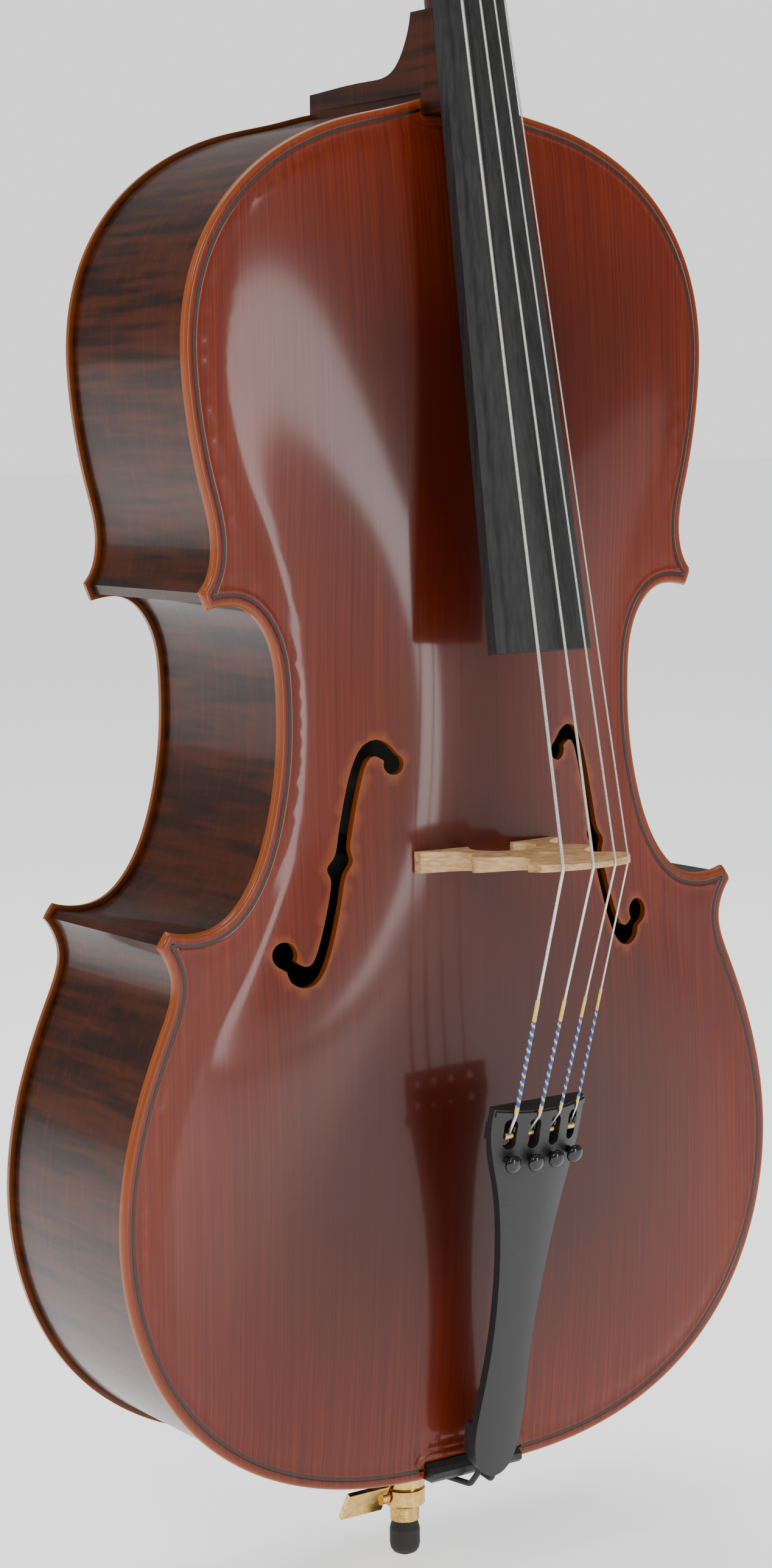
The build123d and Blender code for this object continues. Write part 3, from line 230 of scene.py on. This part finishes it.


# painted highlight colours laid on the plate edges and f-hole rims
SPRUCE_HIGHLIGHT = (0.3, 0.075, 0.012)
MAPLE_HIGHLIGHT = (0.26, 0.07, 0.014)
RED_BROWN = ((0.07, 0.005, 0.0008), (0.125, 0.011, 0.0015), (0.2, 0.025, 0.003))  # dark, middle, light
DARK_BROWN = ((0.006, 0.0016, 0.0006), (0.02, 0.0038, 0.001), (0.085, 0.016, 0.003))
MATERIALS = {
    "varnished_spruce": varnished("spruce", *RED_BROWN, (700, 60, 7), False, SPRUCE_HIGHLIGHT, 0.4),
    "varnished_maple": varnished("maple", *DARK_BROWN, (260, 260, 9), True, MAPLE_HIGHLIGHT, 0.3),
    "purfling_wood": speckled("purfling", (0.006, 0.004, 0.003), (0.02, 0.012, 0.008), (1, 1, 1), 900,
                              (0.3, 0.45), 0.1),
    "bare_spruce": speckled("bare_spruce", (0.42, 0.26, 0.13), (0.66, 0.47, 0.28), (300, 300, 8), 1.0,
                            (0.6, 0.8), 0.2),
    "ebonised_board": speckled("ebony", (0.006, 0.006, 0.0065), (0.02, 0.019, 0.019), (500, 500, 14), 1.0,
                               (0.38, 0.52), 0.1),
    "black_composite": speckled("composite", (0.008, 0.0082, 0.009), (0.018, 0.0185, 0.02), (1, 1, 1), 1600,
                                (0.4, 0.52), 0.12),
    "bridge_maple": speckled("bridge_maple", (0.44, 0.235, 0.09), (0.68, 0.44, 0.215), (160, 160, 700), 1.0,
                             (0.45, 0.6), 0.15),
    "black_fitting": speckled("gloss_black", (0.004, 0.004, 0.0045), (0.009, 0.009, 0.01), (1, 1, 1), 500,
                              (0.1, 0.2), 0.02),
    "dark_steel": speckled("dark_steel", (0.05, 0.05, 0.055), (0.11, 0.11, 0.12), (1, 1, 1), 900,
                           (0.25, 0.4), 0.05, Metallic=1.0),
    "string_metal": speckled("string_metal", (0.5, 0.49, 0.45), (0.76, 0.74, 0.69), (1, 1, 1800), 1.0,
                             (0.28, 0.4), 0.2, Metallic=0.8),
    "string_ball_brass": speckled("ball_brass", (0.5, 0.33, 0.1), (0.72, 0.52, 0.2), (1, 1, 1), 700,
                                  (0.25, 0.4), 0.05, Metallic=1.0),
    "peg_wood": speckled("peg_wood", (0.007, 0.005, 0.004), (0.022, 0.016, 0.013), (30, 400, 400), 1.0,
                         (0.25, 0.36), 0.06),
    "tail_cord_black": speckled("tail_cord_black", (0.006, 0.006, 0.006), (0.03, 0.03, 0.03), (1, 1, 1), 1500,
                                (0.6, 0.8), 0.5),
    "gold_metal": speckled("gold_metal", (0.62, 0.36, 0.09), (0.86, 0.58, 0.2), (1, 1, 1), 300,
                           (0.14, 0.28), 0.03, Metallic=1.0),
    "rod_steel": speckled("rod_steel", (0.45, 0.46, 0.48), (0.66, 0.67, 0.69), (1, 1, 900), 1.0,
                          (0.2, 0.34), 0.05, Metallic=1.0),
    "rubber_black": speckled("rubber_black", (0.012, 0.012, 0.012), (0.028, 0.027, 0.026), (1, 1, 1), 1200,
                             (0.6, 0.8), 0.25),
}
SILK_YELLOW = speckled("silk_yellow", (0.6, 0.4, 0.07), (0.85, 0.66, 0.2), (1, 1, 2500), 1.0, (0.5, 0.7), 0.4)
SILK_BLUE = speckled("silk_blue", (0.012, 0.045, 0.2), (0.035, 0.1, 0.36), (1, 1, 2500), 1.0, (0.5, 0.7), 0.4)
SILK_CREAM = speckled("silk_cream", (0.62, 0.46, 0.16), (0.82, 0.66, 0.3), (1, 1, 2500), 1.0, (0.5, 0.7), 0.4)

slot_of = {part["node"]: part["material_slot"] for part in frame["record"]["subparts"]}
BEVELS = {"fingerboard": 0.0006, "nut": 0.0006, "saddle": 0.0008, "bridge": 0.0005, "tailpiece": 0.0006,
          "endpin_collar": 0.0004, "endpin_plug": 0.0005, "endpin_thumb_screw": 0.0003}


def rounded(obj, width, segments=3, angle=35):
    """Rounds the sharp edges with an angle-limited bevel."""
    bevel = obj.modifiers.new("bevel", "BEVEL")
    bevel.width = width
    bevel.segments = segments
    bevel.limit_method = "ANGLE"
    bevel.angle_limit = math.radians(angle)
    bevel.harden_normals = False


for node_name, node in nodes.items():
    node.data.materials.clear()
    node.data.materials.append(MATERIALS[slot_of[node_name]])
    for polygon in node.data.polygons:
        polygon.use_smooth = True
    node.data.set_sharp_from_angle(angle=math.radians(32))
    if node_name in BEVELS:
        rounded(node, BEVELS[node_name])


# ---------------------------------------------------------------- mesh helpers
def piece(name, points, faces, slot, body=ROOT, replaced=(), materials=None, indices=None, sharp=40):
    """A smooth-shaded mesh piece that rides on a CAD body."""
    mesh = bpy.data.meshes.new(name)
    mesh.from_pydata([tuple(p) for p in points], [], faces)
    for material in materials or (MATERIALS[slot],):
        mesh.materials.append(material)
    tidy = bmesh.new()
    tidy.from_mesh(mesh)
    bmesh.ops.recalc_face_normals(tidy, faces=tidy.faces)
    tidy.to_mesh(mesh)
    tidy.free()
    for polygon in mesh.polygons:
        polygon.use_smooth = True
        if indices:
            polygon.material_index = indices[polygon.index]
    mesh.set_sharp_from_angle(angle=math.radians(sharp))
    obj = bpy.data.objects.new(name, mesh)
    bpy.context.collection.objects.link(obj)
    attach(obj, body)
    if replaced:
        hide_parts(*replaced)
    return obj


def frame_on(axis):
    """Two directions square to an axis."""
    axis = Vector(axis).normalized()
    side = axis.cross(Vector((0, 0, 1)) if abs(axis.z) < 0.9 else Vector((1, 0, 0))).normalized()
    return side, axis.cross(side)


def lathe(name, origin, axis, profile, slot, body=ROOT, replaced=(), steps=64, relief=None,
          materials=None, indices=None):
    """A turned piece from (distance along the axis, radius) points; relief(i, k) scales a radius."""
    origin, axis = Vector(origin), Vector(axis).normalized()
    side, other = frame_on(axis)
    points, faces = [], []
    for i, (along, radius) in enumerate(profile):
        for k in range(steps):
            turn = math.tau * k / steps
            r = radius * (relief(i, k) if relief else 1)
            points.append(origin + axis * along + (side * math.cos(turn) + other * math.sin(turn)) * r)
    for i in range(len(profile) - 1):
        for k in range(steps):
            n = (k + 1) % steps
            faces.append((i * steps + k, i * steps + n, (i + 1) * steps + n, (i + 1) * steps + k))
    faces.append(tuple(range(steps)))
    faces.append(tuple(range((len(profile) - 1) * steps, len(profile) * steps)))
    return piece(name, points, faces, slot, body, replaced, materials, indices)


def catmull(points, steps):
    """A smooth open line through (x, y) points."""
    line = []
    padded = [points[0], *points, points[-1]]
    for a, b, c, d in zip(padded, padded[1:], padded[2:], padded[3:]):
        for i in range(steps):
            t = i / steps
            line.append(tuple(
                0.5 * (2 * q + (r - p) * t + (2 * p - 5 * q + 4 * r - s) * t * t
                       + (3 * q - p - 3 * r + s) * t**3)
                for p, q, r, s in zip(a, b, c, d)))
    line.append(points[-1])
    return line


# ---------------------------------------------------------------- plates
GLUE = 0.0595
FLAT = 0.064
ARCH_RISE, ARCH_DIP = 0.0215, 0.00065
ARCH_WIDTHS = ((-60, 170), (0, 190), (80, 202), (165, 206), (235, 184), (300, 142), (350, 119), (400, 110),
               (450, 112), (505, 128), (560, 152), (612, 163), (685, 155), (755, 135), (830, 110))
BEAD = 0.0021
PURFLING = (0.0049, 0.0067)
SUNK = 0.00015
FLUTE_PLACE, FLUTE_HALF, FLUTE_DEPTH = 0.0098, 0.003, 0.0004


def smooth_width(at):
    i = min(max(1, sum(place <= at for place, _ in ARCH_WIDTHS) - 1), len(ARCH_WIDTHS) - 3)
    (p0, v0), (p1, v1), (p2, v2), (p3, v3) = ARCH_WIDTHS[i - 1:i + 3]
    t = (at - p1) / (p2 - p1)
    m1 = (v2 - v0) / (p2 - p0) * (p2 - p1)
    m2 = (v3 - v1) / (p3 - p1) * (p2 - p1)
    return (2 * v1 - 2 * v2 + m1 + m2) * t**3 + (3 * v2 - 3 * v1 - 2 * m1 - m2) * t * t + m1 * t + v1


def arch(x, z):
    """Height of the arching over the flat edge, as the CAD plates have it."""
    station = (z - BODY_BOTTOM) * 1000
    along = 1 - abs(2 * (station - 8) / 739 - 1) ** 2.6
    u = min(abs(x) * 1000 / smooth_width(station), 1.0)
    return (ARCH_RISE + ARCH_DIP) * (1 - u * u) ** 1.5 * along - ARCH_DIP


# The body's outline: stations in millimetres above its lower edge, with the direction at each end.
UPPER_BOUT = (((0, 755), (36, 748), (75, 739), (110, 725), (141, 702), (163, 671), (174, 632), (173, 588),
               (164, 542), (158, 513), (166, 488)), (1, 0), (1, -0.9))
C_BOUT = (((162, 478.5), (141, 479), (125, 463), (118.5, 430), (119, 399), (125, 364), (138, 332),
           (157, 314), (188, 314)), (-1, 0.25), (1, 0.35))
LOWER_BOUT = (((193.5, 306), (184.7, 287), (191.5, 262), (208, 219), (217, 166), (211, 116), (186, 65),
               (152, 33), (110, 12.5), (65, 2.5), (0, 0)), (-1, -1.1), (-1, 0))
BOUT_STEPS = 12
ROOT_NOTCH = (0.021, 0.743)
SADDLE_NOTCH = (0.03, 0.009)


def clamped_spline(points, first, last):
    """The twice-smooth line through points with set end directions that the CAD outline is drawn with."""
    knots = [0.0]
    for p, q in zip(points, points[1:]):
        knots.append(knots[-1] + math.dist(p, q))
    count = len(points)
    system = np.zeros((count, count))
    wanted = np.zeros((count, 2))
    system[0, 0] = system[-1, -1] = 1
    wanted[0] = np.array(first) / math.hypot(*first)
    wanted[-1] = np.array(last) / math.hypot(*last)
    spots = np.array(points, float)
    for i in range(1, count - 1):
        before, after = knots[i] - knots[i - 1], knots[i + 1] - knots[i]
        system[i, i - 1:i + 2] = (after, 2 * (before + after), before)
        rise, next_rise = spots[i] - spots[i - 1], spots[i + 1] - spots[i]
        wanted[i] = 3 * (after * rise / before + before * next_rise / after)
    slopes = np.linalg.solve(system, wanted)
    line = []
    for i in range(count - 1):
        span = knots[i + 1] - knots[i]
        for k in range(BOUT_STEPS):
            t = k / BOUT_STEPS
            line.append(tuple((2 * t**3 - 3 * t**2 + 1) * spots[i] + (t**3 - 2 * t**2 + t) * span * slopes[i]
                              + (3 * t**2 - 2 * t**3) * spots[i + 1] + (t**3 - t**2) * span * slopes[i + 1]))
    return line + [tuple(spots[-1])]


def body_loop(notched):
    """The body outline as a closed (x, z) loop, with the neck and saddle notches of the top if asked."""
    half = []
    for bout in (UPPER_BOUT, C_BOUT, LOWER_BOUT):
        half += [(x / 1000, BODY_BOTTOM + station / 1000) for x, station in clamped_spline(*bout)]
    if notched:
        (root_x, root_z), (saddle_x, saddle_z) = ROOT_NOTCH, SADDLE_NOTCH
        root_z, saddle_z = root_z + BODY_BOTTOM, saddle_z + BODY_BOTTOM

        def crossing(x, points):
            for (x1, z1), (x2, z2) in zip(points, points[1:]):
                if (x1 - x) * (x2 - x) <= 0 and x1 != x2:
                    return (x, z1 + (z2 - z1) * (x - x1) / (x2 - x1))

        third = len(half) // 3
        top, bottom = crossing(root_x, half[:third]), crossing(saddle_x, half[-third:])
        middle = [p for i, p in enumerate(half) if not (i < third and p[0] <= root_x)
                  and not (i >= len(half) - third and p[0] <= saddle_x)]
        half = [(0, root_z), (root_x, root_z), top, *middle, bottom, (saddle_x, saddle_z), (0, saddle_z)]
    return half + [(-x, z) for x, z in reversed(half[1:-1])]


def resampled(loop, gap):
    """The closed loop with points added so that no step is longer than gap."""
    out = []
    for p, q in zip(loop, loop[1:] + loop[:1]):
        n = max(1, math.ceil(math.dist(p, q) / gap))
        out += [(p[0] + (q[0] - p[0]) * i / n, p[1] + (q[1] - p[1]) * i / n) for i in range(n)]
    return out


def inside(point, loop):
    """Whether a point lies in a closed loop, an array of (x, z) rows."""
    x, z = point
    ends = np.roll(loop, -1, 0)
    spans = (loop[:, 1] > z) != (ends[:, 1] > z)
    first, last = loop[spans], ends[spans]
    reach = (last[:, 0] - first[:, 0]) * (z - first[:, 1]) / (last[:, 1] - first[:, 1]) + first[:, 0]
    return int((x < reach).sum()) % 2 == 1


def gap_to(point, loop):
    """Distance from a point to a closed loop, an array of (x, z) rows."""
    point = np.array(tuple(point))
    steps = np.roll(loop, -1, 0) - loop
    share = np.clip(((point - loop) * steps).sum(1) / np.maximum((steps**2).sum(1), 1e-14), 0, 1)
    return float(np.sqrt(((loop + steps * share[:, None] - point) ** 2).sum(1).min()))


F_OUTER = ((52.5, 396.5), (59, 403.5), (66.5, 405.5), (74, 400.5), (80, 386), (85.5, 362), (88.7, 346),
           (93.6, 338.5), (91.8, 331), (95.5, 314), (100.5, 298), (104.5, 290), (109, 288.5), (113.5, 291.5))
F_INNER = ((119, 286.5), (116.5, 280.5), (109, 277.3), (101, 281), (94.5, 293), (88, 315), (84, 333),
           (79.4, 341.5), (80.5, 349), (78, 363), (73.5, 383), (70, 393.5), (66, 396.8), (61.2, 394.5))
F_EYES = ((55.5, 392.0, 5.6, 62, 306), (119.5, 295.0, 7.0, -148, 96))


def f_hole(side):
    """One f-hole as a closed loop: outer line, lower eye, inner line, upper eye."""
    upper, lower = F_EYES

    def arc(eye, first, last):
        x, station, radius = eye[:3]
        turns = [math.radians(first + (last - first) * i / 16) for i in range(17)]
        return [(x + radius * math.cos(t), station + radius * math.sin(t)) for t in turns]

    loop = catmull(F_OUTER, 4) + arc(lower, 212, -60) + catmull(F_INNER, 4) + arc(upper, 20, -236)
    clean = []
    for x, station in loop:
        place = (side * x / 1000, BODY_BOTTOM + station / 1000)
        if not clean or math.dist(place, clean[-1]) > 0.0004:
            clean.append(place)
    return clean


def plate(name, node_name, front, holes):
    """An arched plate with a rounded edge, closed, with a painted highlight stored along its edge and round
    the f-holes.
    """
    loop = resampled(body_loop(bool(holes)), 0.003)
    border = np.array(loop)
    rims = [np.array(hole) for hole in holes]
    points = [Vector(p) for p in loop]
    edges = [(i, (i + 1) % len(loop)) for i in range(len(loop))]
    for hole in holes:
        first = len(points)
        points += [Vector(p) for p in hole]
        edges += [(first + i, first + (i + 1) % len(hole)) for i in range(len(hole))]
    count = len(loop)
    for depth in (0.0003, 0.0008, 0.0014, BEAD, 0.0038, PURFLING[0] - 0.0001, PURFLING[0] + 0.0001,
                  PURFLING[1] - 0.0001, PURFLING[1] + 0.0001, 0.0085, 0.0105):
        for i in range(count):
            (ax, az), (bx, bz) = loop[i - 1], loop[(i + 1) % count]
            along = Vector((bx - ax, bz - az)).normalized()
            for normal in (Vector((-along.y, along.x)), Vector((along.y, -along.x))):
                place = Vector(loop[i]) + normal * depth
                if abs(gap_to(place, border) - depth) < depth * 0.03 and inside(place, border):
                    points.append(place)
    step = 0.0052
    low_x, high_x = min(p[0] for p in loop), max(p[0] for p in loop)
    low_z, high_z = min(p[1] for p in loop), max(p[1] for p in loop)
    for row in range(int((high_z - low_z) / step) + 1):
        for column in range(int((high_x - low_x) / step) + 1):
            place = (low_x + (column + 0.5 * (row % 2)) * step, low_z + row * step)
            if inside(place, border) and gap_to(place, border) > 0.012:
                if all(gap_to(place, rim) > 0.0018 for rim in rims):
                    points.append(Vector(place))
    flat, _, triangles, _, _, _ = delaunay_2d_cdt(points, edges, [], 0, 1e-7)
    kept = []
    for triangle in triangles:
        middle = sum((flat[i] for i in triangle), Vector((0, 0))) / 3
        if inside(middle, border) and not any(inside(middle, rim) for rim in rims):
            kept.append(tuple(triangle))
    outer, wear = [], []
    for p in flat:
        d = gap_to(p, border)
        height = max(arch(p.x, p.y), 0) * min(max((d - 0.0105) / 0.006, 0), 1)
        if d < BEAD:
            height -= BEAD - math.sqrt(max(BEAD**2 - (BEAD - d) ** 2, 0))
        if PURFLING[0] < d < PURFLING[1]:
            height -= SUNK
        if abs(d - FLUTE_PLACE) < FLUTE_HALF:
            height -= FLUTE_DEPTH * (1 + math.cos(math.pi * (d - FLUTE_PLACE) / FLUTE_HALF)) / 2
        outer.append(Vector((p.x, front * (FLAT + height), p.y)))
        # painted highlight: a lighter band along the edge bead and round the f-hole rims
        highlight_amount = 0.75 * max(0, 1 - d / 0.0034)
        for rim in rims:
            highlight_amount = max(highlight_amount, 0.5 * max(0, 1 - gap_to(p, rim) / 0.0009))
        wear.append(highlight_amount)
    inner = [Vector((p.x, front * (abs(p.y) - 0.0042 if abs(p.y) > FLAT + 0.001 else GLUE), p.z))
             for p in outer]
    size = len(outer)
    faces = list(kept) + [tuple(size + i for i in reversed(t)) for t in kept]
    sides = {}
    for a, b, c in kept:
        for edge in ((a, b), (b, c), (c, a)):
            sides[edge] = True
    for a, b in sides:
        if (b, a) not in sides:
            faces.append((b, a, size + a, size + b))
    obj = piece(name, outer + inner, faces, slot_of[node_name], ROOT, (node_name,), sharp=50)
    layer = obj.data.attributes.new("wear", "FLOAT", "POINT")
    layer.data.foreach_set("value", wear + wear)
    layer = obj.data.attributes.new("shade", "FLOAT", "POINT")
    shade = [0.85 * min(max((gap_to(p, border) - 0.012) / 0.11, 0), 1) for p in flat]
    layer.data.foreach_set("value", shade + shade)
    return obj


plate("top", "top_plate", -1, [f_hole(-1), f_hole(1)])
plate("back", "back_plate", 1, [])

# ---------------------------------------------------------------- tailpiece knobs, silk, ferrule
def leaning(front, station, tilt):
    """A function from (across, up, out) millimetres on a plane leaning back by tilt degrees to a place."""
    lean = math.radians(tilt)
    out, climb = Vector((0, -math.cos(lean), math.sin(lean))), Vector((0, math.sin(lean), math.cos(lean)))
    base = Vector((0, -front / 1000, BODY_BOTTOM + station / 1000))

    def place(x, along, height):
        return base + Vector((x, 0, 0)) / 1000 + (climb * along + out * height) / 1000

    return place, out


on_tail, tail_out = leaning(130.0, 213.0, -14.0)
KNOB_PROFILE = ((0, 2.2), (0, 4.1), (0.35, 4.75), (1.0, 4.95), (1.8, 4.85), (2.6, 4.3), (3.2, 3.4),
                (3.7, 2.1), (3.9, 0.7), (3.92, 0.1))  # height, radius
SCREW_DROP = -28
KNOB_LIFT = 3.4  # travel of the screw and the gap left under its knob
KNOB_RADIUS = 4.8
RIDGE_DROP, RIDGE_HEIGHT = -2.5, 1.2
BRIDGE_STATION, BRIDGE_LEAN, BRIDGE_PIVOT = 339, math.radians(3.5), 82
SILK_WALL = 0.28
SILK_STEP = 0.8
WRAPS = (("low_silk", 2, 6, (SILK_YELLOW,)), ("silk", 6, 56, (SILK_BLUE, SILK_CREAM)),
         ("high_silk", 56, 68, (SILK_YELLOW,)))  # name, first and last distance up the string, colours
TAIL_X = {"c": -20.5, "g": -41 / 6, "d": 41 / 6, "a": 20.5}
SEATS = {"c": (-22.0, 181.3), "g": (-6.3, 186.6), "d": (9.2, 185.3), "a": (24.8, 176.5)}
RADII = {"c": 0.9, "g": 0.75, "d": 0.6, "a": 0.5}


def crown(x):
    return 8 - x * x / 124


for string in STRINGS:
    x = TAIL_X[string]
    base = crown(max(abs(x) - KNOB_RADIUS, 0)) + KNOB_LIFT
    lathe(f"knob_{string}", on_tail(x, SCREW_DROP, base), tail_out,
          [(height / 1000, radius / 1000) for height, radius in KNOB_PROFILE],
          slot_of[f"tuner_knob_{string}"], body_of(nodes[f"tuner_knob_{string}"])[0],
          (f"tuner_knob_{string}",), 40)
    seat_x, seat_front = SEATS[string]
    low = on_tail(x, RIDGE_DROP, crown(x) + RIDGE_HEIGHT + RADII[string])
    seat_station = BRIDGE_STATION + (seat_front - BRIDGE_PIVOT) * math.sin(BRIDGE_LEAN)
    seat = Vector((seat_x, -seat_front, seat_station)) / 1000
    seat.z += BODY_BOTTOM
    wrap = (RADII[string] + SILK_WALL) / 1000
    for label, first, last, colours in WRAPS:
        rows = round((last - first) / SILK_STEP)
        profile = [((first + (last - first) * i / rows) / 1000, wrap) for i in range(rows + 1)]
        spiral = [int(len(colours) > 1 and (k + 2 * i) % 12 < 4) for i in range(rows) for k in range(12)]
        lathe(f"{label}_{string}", low, seat - low, profile, slot_of[f"string_{string}"], steps=12,
              materials=colours, indices=spiral + [0, 0])

FERRULE_ROWS = 15
knurl = [((19.6 + 7.4 * i / FERRULE_ROWS) / 1000, 0.0083) for i in range(FERRULE_ROWS + 1)]
lathe("ferrule", (0, 0, 0), (0, 0, 1), [(0.019, 0.0077), *knurl, (0.0276, 0.0077)], slot_of["endpin_ferrule"],
      body_of(nodes["endpin_ferrule"])[0], ("endpin_ferrule",), 108,
      lambda i, k: 1.0 if i in (0, FERRULE_ROWS + 2) or (i + k) % 3 else 0.955)

# ---------------------------------------------------------------- carved volute over the scroll
on_head, _ = leaning(37.534, 1024.35, 16.314)
EYE_RADIUS = 13.2
TURN_RADII = (36.0, 33.0, 24.0, 13.5)
TURN_WIDTHS = (13.4, 15.0, 22.3, 30.5)
VOLUTE_STEPS = 54


def along_turns(values, t):
    t = min(max(t, 0), 3)
    i = min(int(t), 2)
    return values[i] + (values[i + 1] - values[i]) * (t - i)


for side in (-1, 1):
    points, faces = [], []
    for k in range(3 * VOLUTE_STEPS + 1):
        t = k / VOLUTE_STEPS
        turn = math.radians(-130 + 360 * t)
        radius, width = along_turns(TURN_RADII, t), along_turns(TURN_WIDTHS, t)
        inner = along_turns(TURN_RADII, t + 1) if t < 2 else EYE_RADIUS
        foot = along_turns(TURN_WIDTHS, t - 1) - 0.2 if t >= 1 else 0
        hollow = 0.5 if t >= 1 else 1.6
        section = ((radius, foot), (radius - hollow, (foot + width) / 2), (radius, width - 1.0),
                   (radius - 0.35, width - 0.3), (radius - 1.0, width), ((radius + inner) / 2, width - 1.3),
                   (inner, width - 0.2))
        for r, across in section:
            points.append(on_head(side * across, 153 + r * math.cos(turn), -7 + r * math.sin(turn)))
    for k in range(3 * VOLUTE_STEPS):
        for j in range(6):
            a = 7 * k + j
            faces.append((a, a + 1, a + 8, a + 7))
    piece(f"volute_{'treble' if side > 0 else 'bass'}", points, faces, slot_of["neck"])
    lathe(f"volute_eye_{'treble' if side > 0 else 'bass'}", on_head(0, 153, -7), (side, 0, 0),
          [(a / 1000, r / 1000) for a, r in ((20, 13.2), (30.8, 13.2), (31.6, 12.4), (32.3, 8), (32.6, 0.5))],
          slot_of["neck"])

# ---------------------------------------------------------------- stage and light
floor_mesh = bpy.data.meshes.new("floor")
floor_mesh.from_pydata([(-30, -30, 0), (30, -30, 0), (30, 30, 0), (-30, 30, 0)], [], [(0, 1, 2, 3)])
floor = bpy.data.objects.new("floor", floor_mesh)
bpy.context.collection.objects.link(floor)
paper = Nodes("paper", Base_Color=(0.9, 0.9, 0.9, 1), Emission_Color=(1, 1, 1, 1), Emission_Strength=1.0)
paper.rough(paper.noise((1, 1, 1), 4.0), 0.32, 0.4)
floor_mesh.materials.append(paper.material)
floor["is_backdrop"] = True

world = bpy.data.worlds.new("studio")
bpy.context.scene.world = world
world.use_nodes = True
links, made = world.node_tree.links, world.node_tree.nodes
seen = made.new("ShaderNodeLightPath")
level = made.new("ShaderNodeMapRange")
level.inputs["To Min"].default_value = 0.3  # what lights the cello and shows in its varnish
level.inputs["To Max"].default_value = 1.35  # the white behind it
links.new(seen.outputs["Is Camera Ray"], level.inputs["Value"])
links.new(level.outputs["Result"], made["Background"].inputs["Strength"])
made["Background"].inputs["Color"].default_value = (1, 1, 1, 1)


def softbox(name, place, target, size, energy):
    light = bpy.data.lights.new(name, "AREA")
    light.shape = "RECTANGLE"
    light.size, light.size_y = size
    light.energy = energy
    obj = bpy.data.objects.new(name, light)
    obj.location = place
    obj.rotation_mode = "QUATERNION"
    obj.rotation_quaternion = (Vector(target) - Vector(place)).to_track_quat("-Z", "Y")
    bpy.context.collection.objects.link(obj)


softbox("key", (0.6, -2.4, 0.72), (0, 0, 0.45), (0.3, 1.25), 13)
softbox("fill", (-1.9, -2.2, 2.2), (0, 0, 0.5), (1.0, 0.8), 30)
softbox("side", (-2.4, 0.5, 1.4), (0, 0, 0.5), (0.5, 1.6), 9)
softbox("floor_wash", (0, 0.6, 3.2), (0, 0, 0), (3.0, 3.0), 95)

bpy.context.view_layer.update()
low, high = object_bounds()
